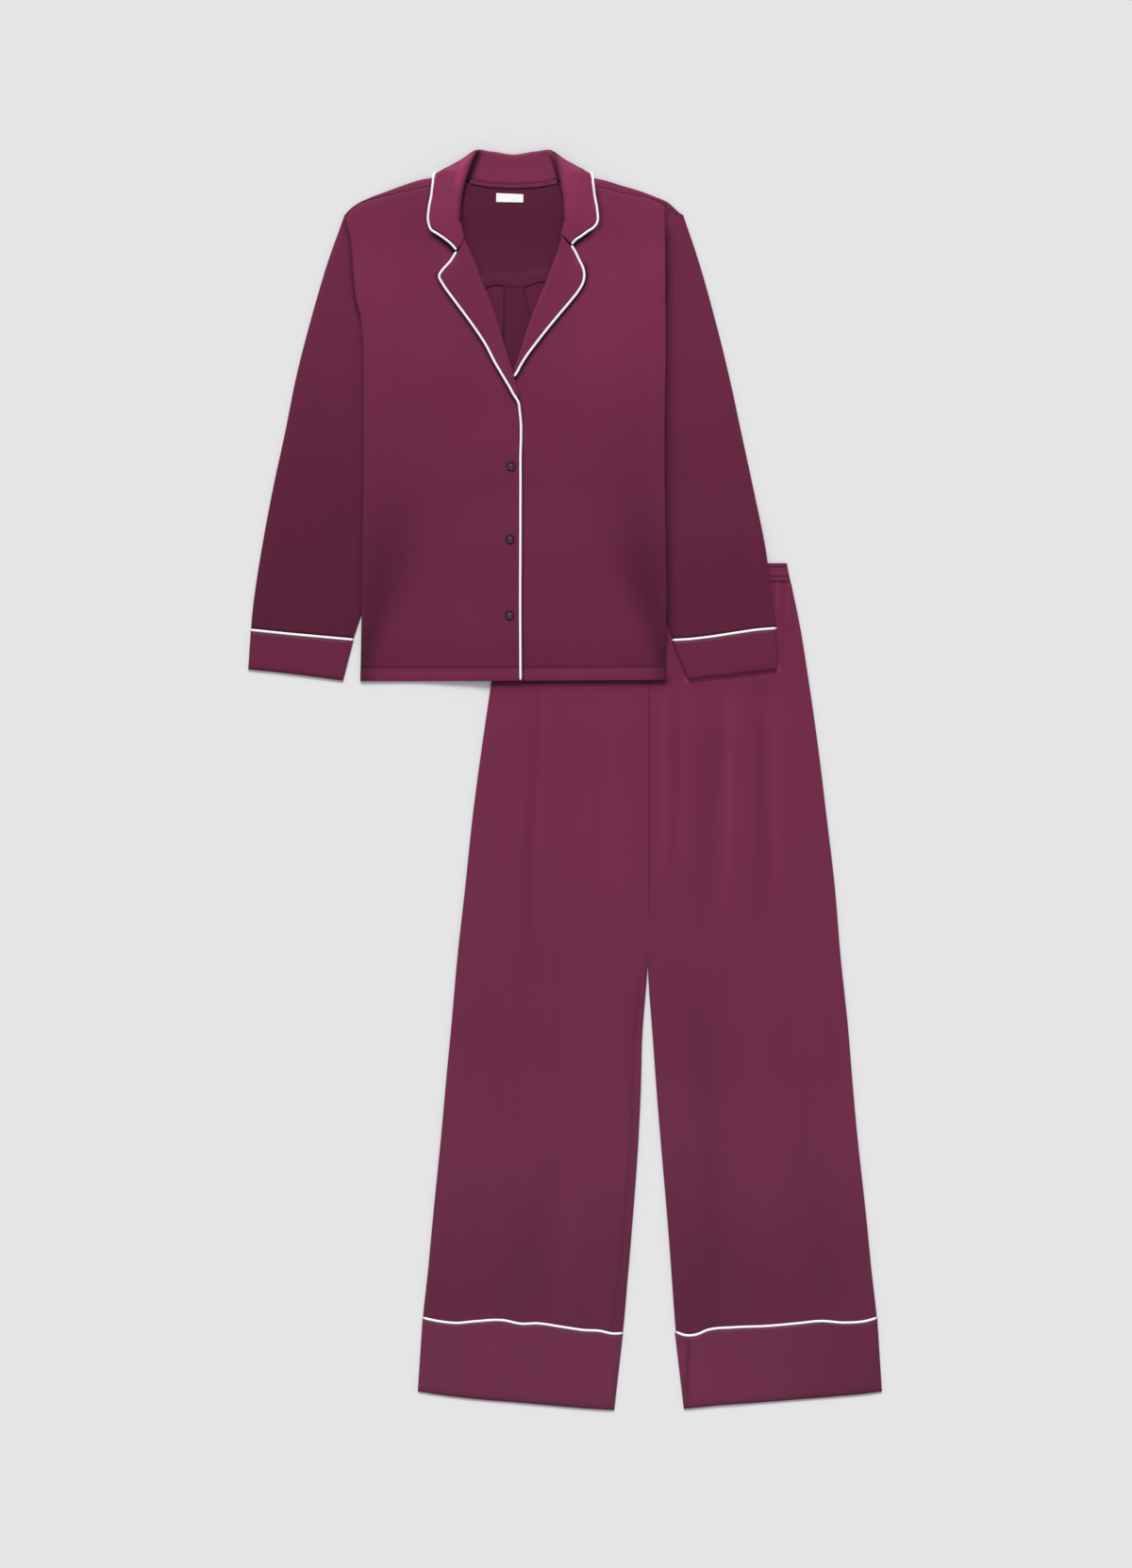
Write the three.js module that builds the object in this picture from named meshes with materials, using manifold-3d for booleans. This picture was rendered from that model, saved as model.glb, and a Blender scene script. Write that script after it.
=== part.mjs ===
import * as THREE from 'three';
import Module from 'manifold-3d';

// A women's pyjama set laid flat: a long-sleeved jacket with a notch collar, over wide-legged trousers.
// X runs to the wearer's left, Y from the hems up to the collar, Z up from the floor, in millimetres.
// A right piece is on the wearer's right, at negative X.

const wasm = await Module();
wasm.setup();

// Cloth, seams and piping
const CLOTH = 1.0;
const SEAM_GAP = 0.3;
const PLY = CLOTH + SEAM_GAP;
const PIPING_RADIUS = 1.6;
const PIPING_REACH = PIPING_RADIUS + SEAM_GAP + 0.2;
const PIPING_SIDES = 6;

// Heights at which one garment lies on the other
const TROUSERS_UNDER_JACKET = 3.6;
const SLEEVE_UNDER_BODY = 3.1;
const COLLAR_UNDER_YOKE = 3.6;
const FRONT_OVER_BACK = 0.25;

// Turn-ups, trims and buttons
const JACKET_HEM_DEPTH = 17;
const JACKET_HEM_RAISE = 0.5;
const JACKET_HEM_Y = 126;
const BUTTON_DIAMETER = 12;
const BUTTON_THICKNESS = 2.4;
const BUTTON_RIM = 1.4;
const LABEL_THICKNESS = 0.8;
const NECK_TAPE_WIDTH = 5;
const NECK_TAPE_THICKNESS = 0.8;
const WAIST_GATHERS = 10;
const WAIST_GATHER_HEIGHT = 0.3;

// Height of the crown of each hollow piece over its flat seams
const BODY_CROWN = 0.9;
const SLEEVE_CROWN = 1.4;
const LEG_CROWN = 2.0;
const LEG_CROWN_TOP_Y = 112;
const BAND_CROWN = 0.9;
const CUFF_CROWN = 0.8;
const LAPEL_EDGE_HEIGHT = 1.7;
const LAPEL_TURNED_UNDER = 3.2;
const TUBE_SLACK = 0.4;
const SHOULDER_FOLD_WIDTH = -1.2;

const BUTTONS = [
  { name: 'button_1', x: -69, y: 400 },
  { name: 'button_2', x: -70, y: 307 },
  { name: 'button_3', x: -70.5, y: 210.5 },
];

// The armhole seam from the shoulder point down, on each side
const ARMHOLE_RIGHT = [[-282.4, 716.6], [-275.6, 693], [-272.9, 671], [-270, 638], [-267, 609.5],
  [-261, 588]];
const ARMHOLE_LEFT = [[149.8, 717.6], [147.3, 709], [141.5, 696.5], [134.5, 683.5], [129.9, 662],
  [128.9, 632], [128.9, 606]];

// The jacket's fronts, from the hem up: side is the side or armhole edge, edge the front or neck edge
const FRONT_RIGHT = [
  { side: [-260.5, 126], edge: [-58.4, 126] },
  { side: [-260, 143], edge: [-58.6, 143] },
  { side: [-258.5, 224.5], edge: [-58.9, 222] },
  { side: [-257, 320], edge: [-58.6, 316] },
  { side: [-256, 410], edge: [-58.8, 405] },
  { side: [-256, 480], edge: [-60.6, 464] },
  { side: [-256.2, 530], edge: [-66.5, 499] },
  { side: [-257.5, 570], edge: [-79.5, 545] },
  { side: [-261, 590], edge: [-94, 592] },
  { side: [-266, 611], edge: [-107.4, 625] },
  { side: [-269.2, 640], edge: [-118, 653] },
  { side: [-272, 671], edge: [-133, 682] },
  { side: [-274.5, 693], edge: [-144.6, 715] },
  { side: [-280.3, 714.5], edge: [-144.6, 759] },
];
const FRONT_LEFT = [
  { edge: [-84, 126], side: [127, 127] },
  { edge: [-84, 143], side: [127.3, 144] },
  { edge: [-84, 222], side: [129, 222] },
  { edge: [-84, 316], side: [127.7, 316] },
  { edge: [-84, 405], side: [126.6, 405] },
  { edge: [-83, 464], side: [127, 480] },
  { edge: [-68.5, 499], side: [128, 530] },
  { edge: [-49.5, 545], side: [128.2, 570] },
  { edge: [-37, 591], side: [127.9, 606] },
  { edge: [-24.5, 623], side: [127.9, 632] },
  { edge: [-13, 651], side: [128.8, 660] },
  { edge: [2, 685], side: [132.6, 681] },
  { edge: [13, 715], side: [140, 696] },
  { edge: [13.5, 757], side: [147.2, 712.8] },
];
const FORWARD_SEAM_RIGHT = [[-280.3, 714.5], [-269, 727], [-255.5, 735], [-236.5, 740.5], [-207.5, 747],
  [-170.5, 754.6], [-144.6, 759]];
const FORWARD_SEAM_LEFT = [[13.5, 757], [39.5, 754], [79, 745], [109, 739], [126, 732], [136.5, 724.5],
  [147.2, 712.8]];
const SHOULDER_RIGHT = [[-280.8, 718], [-273.5, 726], [-264, 733], [-248.5, 740.5], [-228, 748],
  [-203, 757], [-181, 763.5], [-168, 765.4], [-145.2, 766]];
const SHOULDER_LEFT = [[14.2, 766], [34, 765.4], [49, 762.5], [71, 756], [95, 749], [115, 741.5],
  [131, 734.5], [141.5, 725], [147.8, 719.4]];

// The jacket's back, from the hem up, and the yoke above it
const BACK_BODY = [
  { right: [-260.5, 126], left: [127, 127] },
  { right: [-260, 143], left: [127.3, 144] },
  { right: [-258.5, 224.5], left: [129, 222] },
  { right: [-257, 320], left: [127.7, 316] },
  { right: [-256, 410], left: [126.6, 405] },
  { right: [-256.2, 500], left: [127, 495] },
  { right: [-257.5, 570], left: [128.2, 570] },
  { right: [-261.5, 592], left: [128.4, 600] },
  { right: [-267.5, 624], left: [128.8, 626] },
];
const YOKE_SEAM = [[-267.9, 626.2], [-160, 627], [-69, 628], [30, 628.4], [127.9, 628]];
const YOKE_SIDES = [
  { right: [-267.9, 626.2], left: [127.9, 628] },
  { right: [-269.6, 645], left: [128.2, 648] },
  { right: [-272, 671], left: [131, 675] },
  { right: [-274.6, 693], left: [139.4, 695] },
  { right: [-280.4, 716.4], left: [147.6, 718.2] },
];
const YOKE_TOP = [[-280.4, 716.4], [-264, 732], [-228, 747], [-181, 762.6], [-160, 765], [-144, 765],
  [-137, 764.6], [-129.5, 762.6], [-120, 758.4], [-101, 755.4], [-65.4, 753.4], [-30, 755.4],
  [-11, 758.4], [-2, 762.6],
  [6, 764.6], [13, 765], [30, 764.4], [49, 761.6], [95, 748], [131, 733], [147.6, 718.2]];
const PLEAT = { rightFold: 0.479, leftFold: 0.54, raise: 0.9, fadeFrom: 612, fadeTo: 572 };

// Lapels, from the gorge down: roll is the fold, edge the middle of the piping, lift the roll's height
const LAPEL_RIGHT = [
  { roll: [-127.8, 686.2], edge: [-137.6, 670.6], lift: 5.6 },
  { roll: [-123.5, 678], edge: [-145, 660.5], lift: 5.5 },
  { roll: [-118, 666], edge: [-156, 648], lift: 5.4 },
  { roll: [-113, 655], edge: [-160, 641], lift: 5.3 },
  { roll: [-107.5, 639], edge: [-155, 630], lift: 5.2 },
  { roll: [-99.5, 619], edge: [-143, 613], lift: 5.0 },
  { roll: [-91, 597.5], edge: [-129.5, 595], lift: 4.6 },
  { roll: [-83.5, 575], edge: [-115, 575], lift: 4.1 },
  { roll: [-77, 552], edge: [-100, 552], lift: 3.5 },
  { roll: [-71.5, 534], edge: [-90, 532.5], lift: 3.0 },
  { roll: [-66.5, 516.5], edge: [-79.5, 514.5], lift: 2.5 },
  { roll: [-62, 500], edge: [-70, 498.5], lift: 2.2 },
];
const LAPEL_LEFT = [
  { roll: [-4, 691.6], edge: [8, 678.6], lift: 5.6 },
  { roll: [-6.2, 682], edge: [12.4, 672.5], lift: 5.5 },
  { roll: [-10, 671], edge: [18, 661], lift: 5.4 },
  { roll: [-14.5, 659], edge: [22.8, 651], lift: 5.3 },
  { roll: [-18.5, 648], edge: [24.5, 642], lift: 5.2 },
  { roll: [-22.5, 637.5], edge: [22.5, 631.5], lift: 5.1 },
  { roll: [-26.5, 628], edge: [17.5, 622.5], lift: 5.0 },
  { roll: [-33.5, 611.5], edge: [7, 609], lift: 4.8 },
  { roll: [-42, 590], edge: [-7, 592.5], lift: 4.4 },
  { roll: [-48, 573.5], edge: [-21.5, 575], lift: 4.0 },
  { roll: [-54, 555], edge: [-38, 554], lift: 3.3 },
  { roll: [-59, 538], edge: [-50.5, 537], lift: 2.6 },
  { roll: [-62.5, 528], edge: [-56.6, 527], lift: 2.3 },
];
// The piping from the lapel's end down the front edge, with its height over the front's underside
const BREAK_TO_HEM = [[-60, 481.5, 2.9], [-57.3, 466, 1.6], [-56.7, 405, 1.6], [-56.7, 316, 1.6],
  [-57, 222, 1.6], [-56.6, 143, 1.6], [-56.5, 127, 1.6]];

// The collar, from its front end on the wearer's right to the middle of the back neck. In plan: neck is the
// seam, roll the fold at the neck opening, fold where the fall turns behind, edge the middle of the piping.
// Heights: neckZ at the seam, innerZ, rollZ and outerZ round the roll, turnZ and backZ along the fall.
// Slack widens the gap at the piping where the edge turns over the shoulder.
const COLLAR = [
  { neck: [-132, 689], roll: [-128.5, 688.8], fold: [-150, 694], edge: [-171.5, 701],
    neckZ: 2.7, innerZ: 4.6, rollZ: 6.8, outerZ: 8.6, turnZ: 8.0, backZ: 7.2, edgeZ: 6.5 },
  { neck: [-137.4, 701], roll: [-131, 702], fold: [-152.5, 706], edge: [-174, 711],
    neckZ: 3.7, innerZ: 5.6, rollZ: 8.2, outerZ: 10.2, turnZ: 9.2, backZ: 8.0, edgeZ: 7.1 },
  { neck: [-143.2, 716], roll: [-132, 719], fold: [-152.5, 722.5], edge: [-173, 726],
    neckZ: 4.9, innerZ: 6.8, rollZ: 9.4, outerZ: 11.6, turnZ: 10.6, backZ: 9.3, edgeZ: 8.1 },
  { neck: [-143.2, 733], roll: [-131, 738], fold: [-150.5, 740], edge: [-170, 742],
    neckZ: 5.7, innerZ: 7.2, rollZ: 9.8, outerZ: 12.0, turnZ: 11.0, backZ: 9.7, edgeZ: 8.4 },
  { neck: [-142.4, 751], roll: [-127, 757], fold: [-147.5, 758], edge: [-168, 757],
    neckZ: 5.8, innerZ: 7.2, rollZ: 9.8, outerZ: 11.8, turnZ: 11.0, backZ: 9.8, edgeZ: 9.2 },
  { neck: [-141, 763], roll: [-123.5, 769], fold: [-156, 774], edge: [-165.2, 771],
    neckZ: 5.8, innerZ: 7.2, rollZ: 9.6, outerZ: 11.4, turnZ: 9.4, backZ: 8.0, edgeZ: 6.4, slack: 0.9 },
  { neck: [-137.6, 771.5], roll: [-120, 780], fold: [-148.4, 779.2], edge: [-157, 766.6],
    neckZ: 5.2, innerZ: 6.8, rollZ: 9.2, outerZ: 10.8, turnZ: 7.6, backZ: 2.9, edgeZ: 1.7, slack: 0.9 },
  { neck: [-129.5, 766.4], roll: [-115, 792], fold: [-132, 788.4], edge: [-145, 756],
    neckZ: 4.4, innerZ: 6.4, rollZ: 8.4, outerZ: 9.4, turnZ: 6.2, backZ: 1.9, edgeZ: 1.7 },
  { neck: [-120, 760.6], roll: [-110.5, 799], fold: [-113.5, 800.4], edge: [-129, 751],
    neckZ: 4.1, innerZ: 6.6, rollZ: 7.4, outerZ: 7.0, turnZ: 4.2, backZ: 1.4, edgeZ: 1.7 },
  { neck: [-101, 757], roll: [-95, 798.6], fold: [-95, 798.8], edge: [-104, 749],
    neckZ: 4.1, innerZ: 6.8, rollZ: 6.6, outerZ: 5.4, turnZ: 3.6, backZ: 1.3, edgeZ: 1.7 },
  { neck: [-65.4, 755], roll: [-65.4, 794.6], fold: [-65.4, 794.8], edge: [-65.4, 747.5],
    neckZ: 4.1, innerZ: 6.8, rollZ: 6.4, outerZ: 5.0, turnZ: 3.4, backZ: 1.3, edgeZ: 1.7 },
];
const COLLAR_END_RIGHT = [
  { cloth: [-131, 684.6], piping: [-135, 679] },
  { cloth: [-137.8, 679.2], piping: [-138.6, 676.4] },
  { cloth: [-144, 684], piping: [-144.8, 681.4] },
  { cloth: [-152, 690.4], piping: [-152.8, 688] },
  { cloth: [-161, 696.6], piping: [-163, 694.8] },
  { cloth: [-168.4, 701.9], piping: [-170.6, 700] },
];
const COLLAR_END_LEFT = [
  { cloth: [0.2, 690.6], piping: [3, 685] },
  { cloth: [7.4, 686], piping: [8.4, 683.2] },
  { cloth: [13, 689.6], piping: [13.8, 687] },
  { cloth: [19, 693.2], piping: [19.8, 690.8] },
  { cloth: [27.4, 699.2], piping: [29, 697.5] },
  { cloth: [34.4, 704.6], piping: [36.8, 702.8] },
];
const COLLAR_AXIS_X = -65.4;
// How much higher the collar's front lies on the wearer's left, below a height
const COLLAR_LEFT_RISE = { amount: 7, belowY: 715, over: 43 };

// The tape over the back neck seam, and the label's lower and upper edge
const NECK_TAPE_SEAM = [[-121, 757.6], [-101, 753.6], [-65.4, 751.6], [-29, 753.6], [-9.5, 757.6]];
const LABEL = [
  [[-87.5, 734.6], [-70, 734.4], [-53, 734]],
  [[-87.5, 746], [-70, 745.4], [-53, 744.5]],
];

// Sleeves: outer is the long outline, under the underarm fold, hidden below the body
const SLEEVE_RIGHT = {
  outer: [[-282.4, 716.6], [-303.5, 656.5], [-324, 584.5], [-342, 512.5], [-356.5, 440.5], [-372, 368.5],
    [-385, 296.5], [-396, 224.5], [-400, 194.4]],
  under: [[-179, 518.5], [-186, 482], [-193, 446.5], [-203, 404], [-213.5, 362.5], [-225, 320],
    [-236.5, 278.5], [-256, 218], [-269, 180.6]],
  cap: [...ARMHOLE_RIGHT, [-239, 564], [-209, 539], [-179, 518.5]],
};
const SLEEVE_LEFT = {
  outer: [[149.8, 717.6], [170.5, 656.5], [191, 584.5], [209, 512.5], [224.5, 440.5], [240, 368.5],
    [254.5, 296.5], [264, 224.5], [269, 195.4]],
  under: [[49, 518.5], [56, 482], [63.5, 446.5], [73.5, 404], [84, 362.5], [95.5, 320], [107, 278.5],
    [126, 218], [138, 180.6]],
  cap: [...ARMHOLE_LEFT, [109, 570], [79, 540], [49, 518.5]],
};

// Cuffs: the line of the piping and the hem, each from one folded edge to the other
const CUFF_RIGHT = {
  seam: [[-401.4, 192], [-357.5, 187], [-313, 182.5], [-267.6, 178]],
  hem: [[-403, 141], [-363.5, 137], [-323, 132], [-282.5, 126.5]],
};
const CUFF_LEFT = {
  seam: [[136.8, 178], [156, 179], [183, 182], [219.5, 187.5], [243.5, 191], [270.6, 193]],
  hem: [[157, 127], [182.5, 131], [207.5, 133], [231.5, 136], [271, 140.5]],
};

// Trouser legs, from the waist seam down: outer is the side, inner the centre seam and inside leg
const LEG_RIGHT = [
  { outer: [-71, 250.5], inner: [106.8, 250.5] },
  { outer: [-84, 188.5], inner: [106.8, 190] },
  { outer: [-93.5, 126], inner: [106.8, 126] },
  { outer: [-105.5, 44.5], inner: [106.8, 40] },
  { outer: [-117.5, -45.5], inner: [106.8, -50] },
  { outer: [-127, -135.5], inner: [106.3, -145] },
  { outer: [-137, -225.5], inner: [104.4, -234] },
  { outer: [-145, -315.5], inner: [98, -327.5] },
  { outer: [-151, -378], inner: [96.4, -390] },
  { outer: [-156.5, -440], inner: [93.5, -452] },
  { outer: [-168, -555.5], inner: [85, -569] },
  { outer: [-175, -632], inner: [78, -649] },
  { outer: [-179.5, -682], inner: [72, -701.2] },
];
const LEG_LEFT = [
  { inner: [107.4, 250.5], outer: [287.5, 250.5] },
  { inner: [107.4, 190], outer: [299, 194.5] },
  { inner: [107.4, 126], outer: [309.5, 128.5] },
  { inner: [107.4, 40], outer: [321.5, 44.5] },
  { inner: [107.4, -50], outer: [332.5, -45.5] },
  { inner: [107, -145], outer: [343, -135.5] },
  { inner: [106, -234], outer: [350.5, -225.5] },
  { inner: [111.5, -327.5], outer: [360, -315.5] },
  { inner: [116, -390], outer: [365, -378] },
  { inner: [121, -452], outer: [370.5, -440] },
  { inner: [131, -569], outer: [383, -555.5] },
  { inner: [137, -649], outer: [390.5, -632] },
  { inner: [141.5, -699.4], outer: [395.5, -682] },
];

// Hem bands of the trousers: the line of the piping and the hem
const BAND_RIGHT = {
  seam: [[-181, -683.6], [-159, -688], [-139, -690], [-115, -688], [-79, -686.5], [-55.5, -691],
    [-36, -690.5], [-3.5, -695], [24, -699], [44, -700], [60, -703.4], [73.4, -703.2]],
  hem: [[-187.4, -777], [-155, -782], [-107, -787.5], [-63.5, -791], [-12, -795.5], [36, -799.5],
    [62.5, -800.8]],
};
const BAND_LEFT = {
  seam: [[140.2, -701.4], [153.5, -705.6], [167.5, -704.5], [179.5, -699.4], [215, -695.5], [254.5, -694],
    [294.5, -690.5], [326.5, -687.5], [354, -689.5], [382, -687.5], [396.8, -683.6]],
  hem: [[151, -799.4], [195, -795], [245, -791.4], [294.5, -787.5], [345, -783.4], [386, -779.5],
    [403, -777]],
};
const WAISTBAND = {
  top: [[-66.5, 276], [107, 276.4], [282, 276]],
  seam: [[-70.9, 250.8], [107, 250.8], [287, 250.8]],
};
const SEAM_FRACTIONS = spread(11, 0.2);
const BAND_ROWS = [0, 0.1, 0.5, 1];
const WAIST_ROWS = [0, 0.26, 0.42, 0.58, 0.76, 1];
const WAIST_STITCH_ROWS = [0.26, 0.58, 1];

// Largest soft folds of the trousers: from, to, half width and height, a trough being below zero
const TROUSER_FOLDS = [
  { from: [-41, 110], to: [-36, -160], width: 20, height: -0.9 },
  { from: [20, 110], to: [30, -260], width: 26, height: 0.7 },
  { from: [128, 110], to: [133, -300], width: 15, height: 0.8 },
  { from: [212, 110], to: [222, -120], width: 20, height: -0.9 },
  { from: [254, 110], to: [268, -180], width: 18, height: -0.8 },
  { from: [-20, -470], to: [-60, -660], width: 30, height: -0.8 },
  { from: [300, -380], to: [330, -640], width: 30, height: -0.7 },
];

// Outlines that lift what lies on them
const TROUSERS_OUTLINE = [[-66.5, 276], [282, 276], [299, 194.5], [321.5, 44.5], [-105.5, 44.5],
  [-84, 188.5]];
const TUCK_RIGHT_OUTLINE = [[-262, 590], [-239, 564], [-209, 539], [-179, 518.5], [-193, 446.5],
  [-213.5, 362.5], [-236.5, 278.5], [-257, 215], [-262, 200], [-310, 200], [-310, 590]];
const TUCK_LEFT_OUTLINE = [[129, 606], [109, 570], [79, 540], [49, 518.5], [63.5, 446.5], [84, 362.5],
  [107, 278.5], [128.5, 215], [135, 200], [180, 200], [180, 606]];
const COLLAR_LIFT = { right: -176, left: 46, low: 672, full: 736, fadeAcross: 70 };

// Outlines of the crowned parts that show
const CHEST_RIGHT = [[-259, 126], [-256, 452], [-258, 578], [-272, 672], [-278, 714], [-255, 734],
  [-172, 753], [-178, 712], [-173, 697], [-140, 670], [-164, 642], [-131, 592], [-95, 534],
  [-62, 484], [-58, 126]];
const CHEST_LEFT = [[-52, 126], [-52, 482], [-62, 504], [-46, 533], [-17, 575], [11, 608], [28, 631],
  [28, 646], [16, 674], [40, 698], [45, 726], [41, 752], [109, 739], [143, 716], [129, 662], [128, 126]];
const ARM_RIGHT = [[-282, 715], [-324, 584.5], [-356.5, 440.5], [-385, 296.5], [-400, 194], [-269, 180],
  [-260, 215], [-258, 340], [-257, 540], [-268, 610], [-274, 690]];
const ARM_LEFT = [[152, 714], [191, 584.5], [224.5, 440.5], [254.5, 296.5], [269, 195], [138, 180],
  [131, 215], [129, 536], [130, 662], [141, 697]];

/** Ease from 0 to 1 with flat ends. */
function smooth(t) {
  const c = Math.min(1, Math.max(0, t));
  return c * c * (3 - 2 * c);
}

function mix(a, b, t) {
  return a.map((value, i) => value + (b[i] - value) * t);
}

function distance(a, b) {
  return Math.hypot(b[0] - a[0], b[1] - a[1]);
}

/** Distance from a point to a segment, and how far along the segment its nearest point lies. */
function toSegment(x, y, a, b) {
  const [dx, dy] = [b[0] - a[0], b[1] - a[1]];
  const along = Math.min(1, Math.max(0, ((x - a[0]) * dx + (y - a[1]) * dy) / (dx * dx + dy * dy)));
  return { gap: Math.hypot(x - a[0] - dx * along, y - a[1] - dy * along), along };
}

/** Distance from an outline, negative inside it. */
function outlineDistance(x, y, outline) {
  let nearest = Infinity;
  let inside = false;
  outline.forEach((a, i) => {
    const b = outline[(i + 1) % outline.length];
    nearest = Math.min(nearest, toSegment(x, y, a, b).gap);
    if (a[1] > y !== b[1] > y && x < a[0] + ((y - a[1]) / (b[1] - a[1])) * (b[0] - a[0])) inside = !inside;
  });
  return inside ? -nearest : nearest;
}

/** Full height inside an outline and for a margin round it, then a soft slope down to nothing. */
function lifted(x, y, outline, height, margin, slope) {
  return height * (1 - smooth((outlineDistance(x, y, outline) - margin) / slope));
}

/** Crown of a hollow piece: nothing at its outline, full height further in. */
function crown(x, y, outline, height, rise) {
  return height * smooth(-outlineDistance(x, y, outline) / rise);
}

/** Height of the trousers under whatever lies on them. */
function overTrousers(x, y) {
  return lifted(x, y, TROUSERS_OUTLINE, TROUSERS_UNDER_JACKET, 12, 90);
}

/** Underside of the jacket's back: on the trousers, the tucked sleeves and the fall of the collar. */
function underBack(x, y) {
  const sleeves = Math.max(
    lifted(x, y, TUCK_RIGHT_OUTLINE, SLEEVE_UNDER_BODY, 10, 80),
    lifted(x, y, TUCK_LEFT_OUTLINE, SLEEVE_UNDER_BODY, 10, 80),
  );
  const { right, left, low, full, fadeAcross } = COLLAR_LIFT;
  const beside = Math.max(right - x, x - left, 0);
  const collar = COLLAR_UNDER_YOKE * smooth((y - low) / (full - low)) * (1 - smooth(beside / fadeAcross));
  return overTrousers(x, y) + sleeves + collar;
}

/** Underside of a front, with its crown, and lapped over the other front near the buttons. */
function underFrontLeft(x, y) {
  return underBack(x, y) + PLY + FRONT_OVER_BACK + crown(x, y, CHEST_LEFT, BODY_CROWN, 35);
}

function underFrontRight(x, y) {
  const overHem = JACKET_HEM_RAISE * (1 - smooth((y - JACKET_HEM_Y - 30) / 60));
  const lap = (PLY + overHem) * smooth((x + 124) / 24) * (1 - smooth((y - 505) / 60));
  return underBack(x, y) + PLY + FRONT_OVER_BACK + lap + crown(x, y, CHEST_RIGHT, BODY_CROWN, 35);
}

/** Extra thickness of the turned-up hem of the jacket, whose stitching slopes a little. */
function hemRaise(y) {
  const stitchSlope = 1.5;
  return y < JACKET_HEM_Y + JACKET_HEM_DEPTH + stitchSlope ? JACKET_HEM_RAISE : 0;
}

/** Sum of the soft folds at a place on the trousers, each fading out at its ends. */
function trouserFolds(x, y) {
  return TROUSER_FOLDS.reduce((sum, { from, to, width, height }) => {
    const { gap, along } = toSegment(x, y, from, to);
    return sum + height * Math.exp(-((gap / width) ** 2)) * Math.sin(Math.PI * (0.12 + 0.76 * along));
  }, 0);
}

/** A smooth curve through points, as a function of the fraction of its length. */
function curveThrough(points) {
  const vectors = points.map(([x, y, z = 0]) => new THREE.Vector3(x, y, z));
  const curve = new THREE.CatmullRomCurve3(vectors, false, 'centripetal');
  curve.arcLengthDivisions = 300;
  return (t) => curve.getPointAt(t).toArray();
}

/** A smooth curve through the rows of a table, as a function of the row number. */
function rowCurve(points) {
  const vectors = points.map(([x, y, z = 0]) => new THREE.Vector3(x, y, z));
  const curve = new THREE.CatmullRomCurve3(vectors, false, 'catmullrom', 0.5);
  return (row) => curve.getPoint(row / (points.length - 1)).toArray();
}

/** Fractions from 0 to 1, closer together near both ends. */
function spread(count, crowding = 0.35) {
  return Array.from({ length: count + 1 }, (_, i) => {
    const t = i / count;
    return t - (crowding * Math.sin(2 * Math.PI * t)) / (2 * Math.PI);
  });
}

/** Row numbers from 0 to last, with a number of steps in each row of the table. */
function rowSteps(last, stepsPerRow = 1) {
  return Array.from({ length: last * stepsPerRow + 1 }, (_, i) => i / stepsPerRow);
}

/** Plan points of a panel between its two side curves, with rows bent to given points. */
function planGrid(start, end, rows, columns, bends = []) {
  return rows.map((row) => columns.map((u, c) => {
    const point = mix(start(row), end(row), u);
    for (const { points, atRow, reach } of bends) {
      const fade = 1 - smooth(Math.abs(row - atRow) / reach);
      const straight = mix(start(atRow), end(atRow), u);
      const bent = points[c];
      point[0] += (bent[0] - straight[0]) * fade;
      point[1] += (bent[1] - straight[1]) * fade;
    }
    return point;
  }));
}

/** A geometry from points and triangles, turned so that its faces point out. */
function outwardGeometry(positions, index) {
  let volume = 0;
  const corner = (i) => new THREE.Vector3().fromArray(positions, index[i] * 3);
  for (let i = 0; i < index.length; i += 3) volume += corner(i).dot(corner(i + 1).cross(corner(i + 2)));
  if (volume < 0) {
    for (let i = 0; i < index.length; i += 3) [index[i], index[i + 1]] = [index[i + 1], index[i]];
  }
  const geometry = new THREE.BufferGeometry();
  geometry.setAttribute('position', new THREE.Float32BufferAttribute(positions, 3));
  geometry.setIndex(index);
  return geometry;
}

/** A closed solid between two matching grids of points. A ring closes on itself across its columns. */
function solidBetween(outer, inner, ring = false) {
  const rows = outer.length;
  const columns = outer[0].length;
  const positions = [outer, inner].flat(3);
  const index = [];
  const at = (layer, row, column) => (layer * rows + row) * columns + (column % columns);
  const quad = (a, b, c, d) => index.push(a, b, c, a, c, d);
  const spans = ring ? columns : columns - 1;
  for (let c = 0; c < spans; c += 1) {
    for (let r = 0; r < rows - 1; r += 1) {
      quad(at(0, r, c), at(0, r, c + 1), at(0, r + 1, c + 1), at(0, r + 1, c));
      quad(at(1, r, c), at(1, r + 1, c), at(1, r + 1, c + 1), at(1, r, c + 1));
    }
    quad(at(0, 0, c), at(1, 0, c), at(1, 0, c + 1), at(0, 0, c + 1));
    quad(at(0, rows - 1, c), at(0, rows - 1, c + 1), at(1, rows - 1, c + 1), at(1, rows - 1, c));
  }
  if (!ring) {
    for (let r = 0; r < rows - 1; r += 1) {
      quad(at(0, r, 0), at(0, r + 1, 0), at(1, r + 1, 0), at(1, r, 0));
      quad(at(0, r, spans), at(1, r, spans), at(1, r + 1, spans), at(0, r + 1, spans));
    }
  }
  return outwardGeometry(positions, index);
}

/** A laid sheet: plan points with the height of its underside and its thickness at each place. */
function laidSheet(grid, under, thickness = () => CLOTH) {
  const level = (raise) => grid.map((row) => row.map(([x, y]) => [x, y, under(x, y) + raise(x, y)]));
  return solidBetween(level(thickness), level(() => 0));
}

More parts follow.
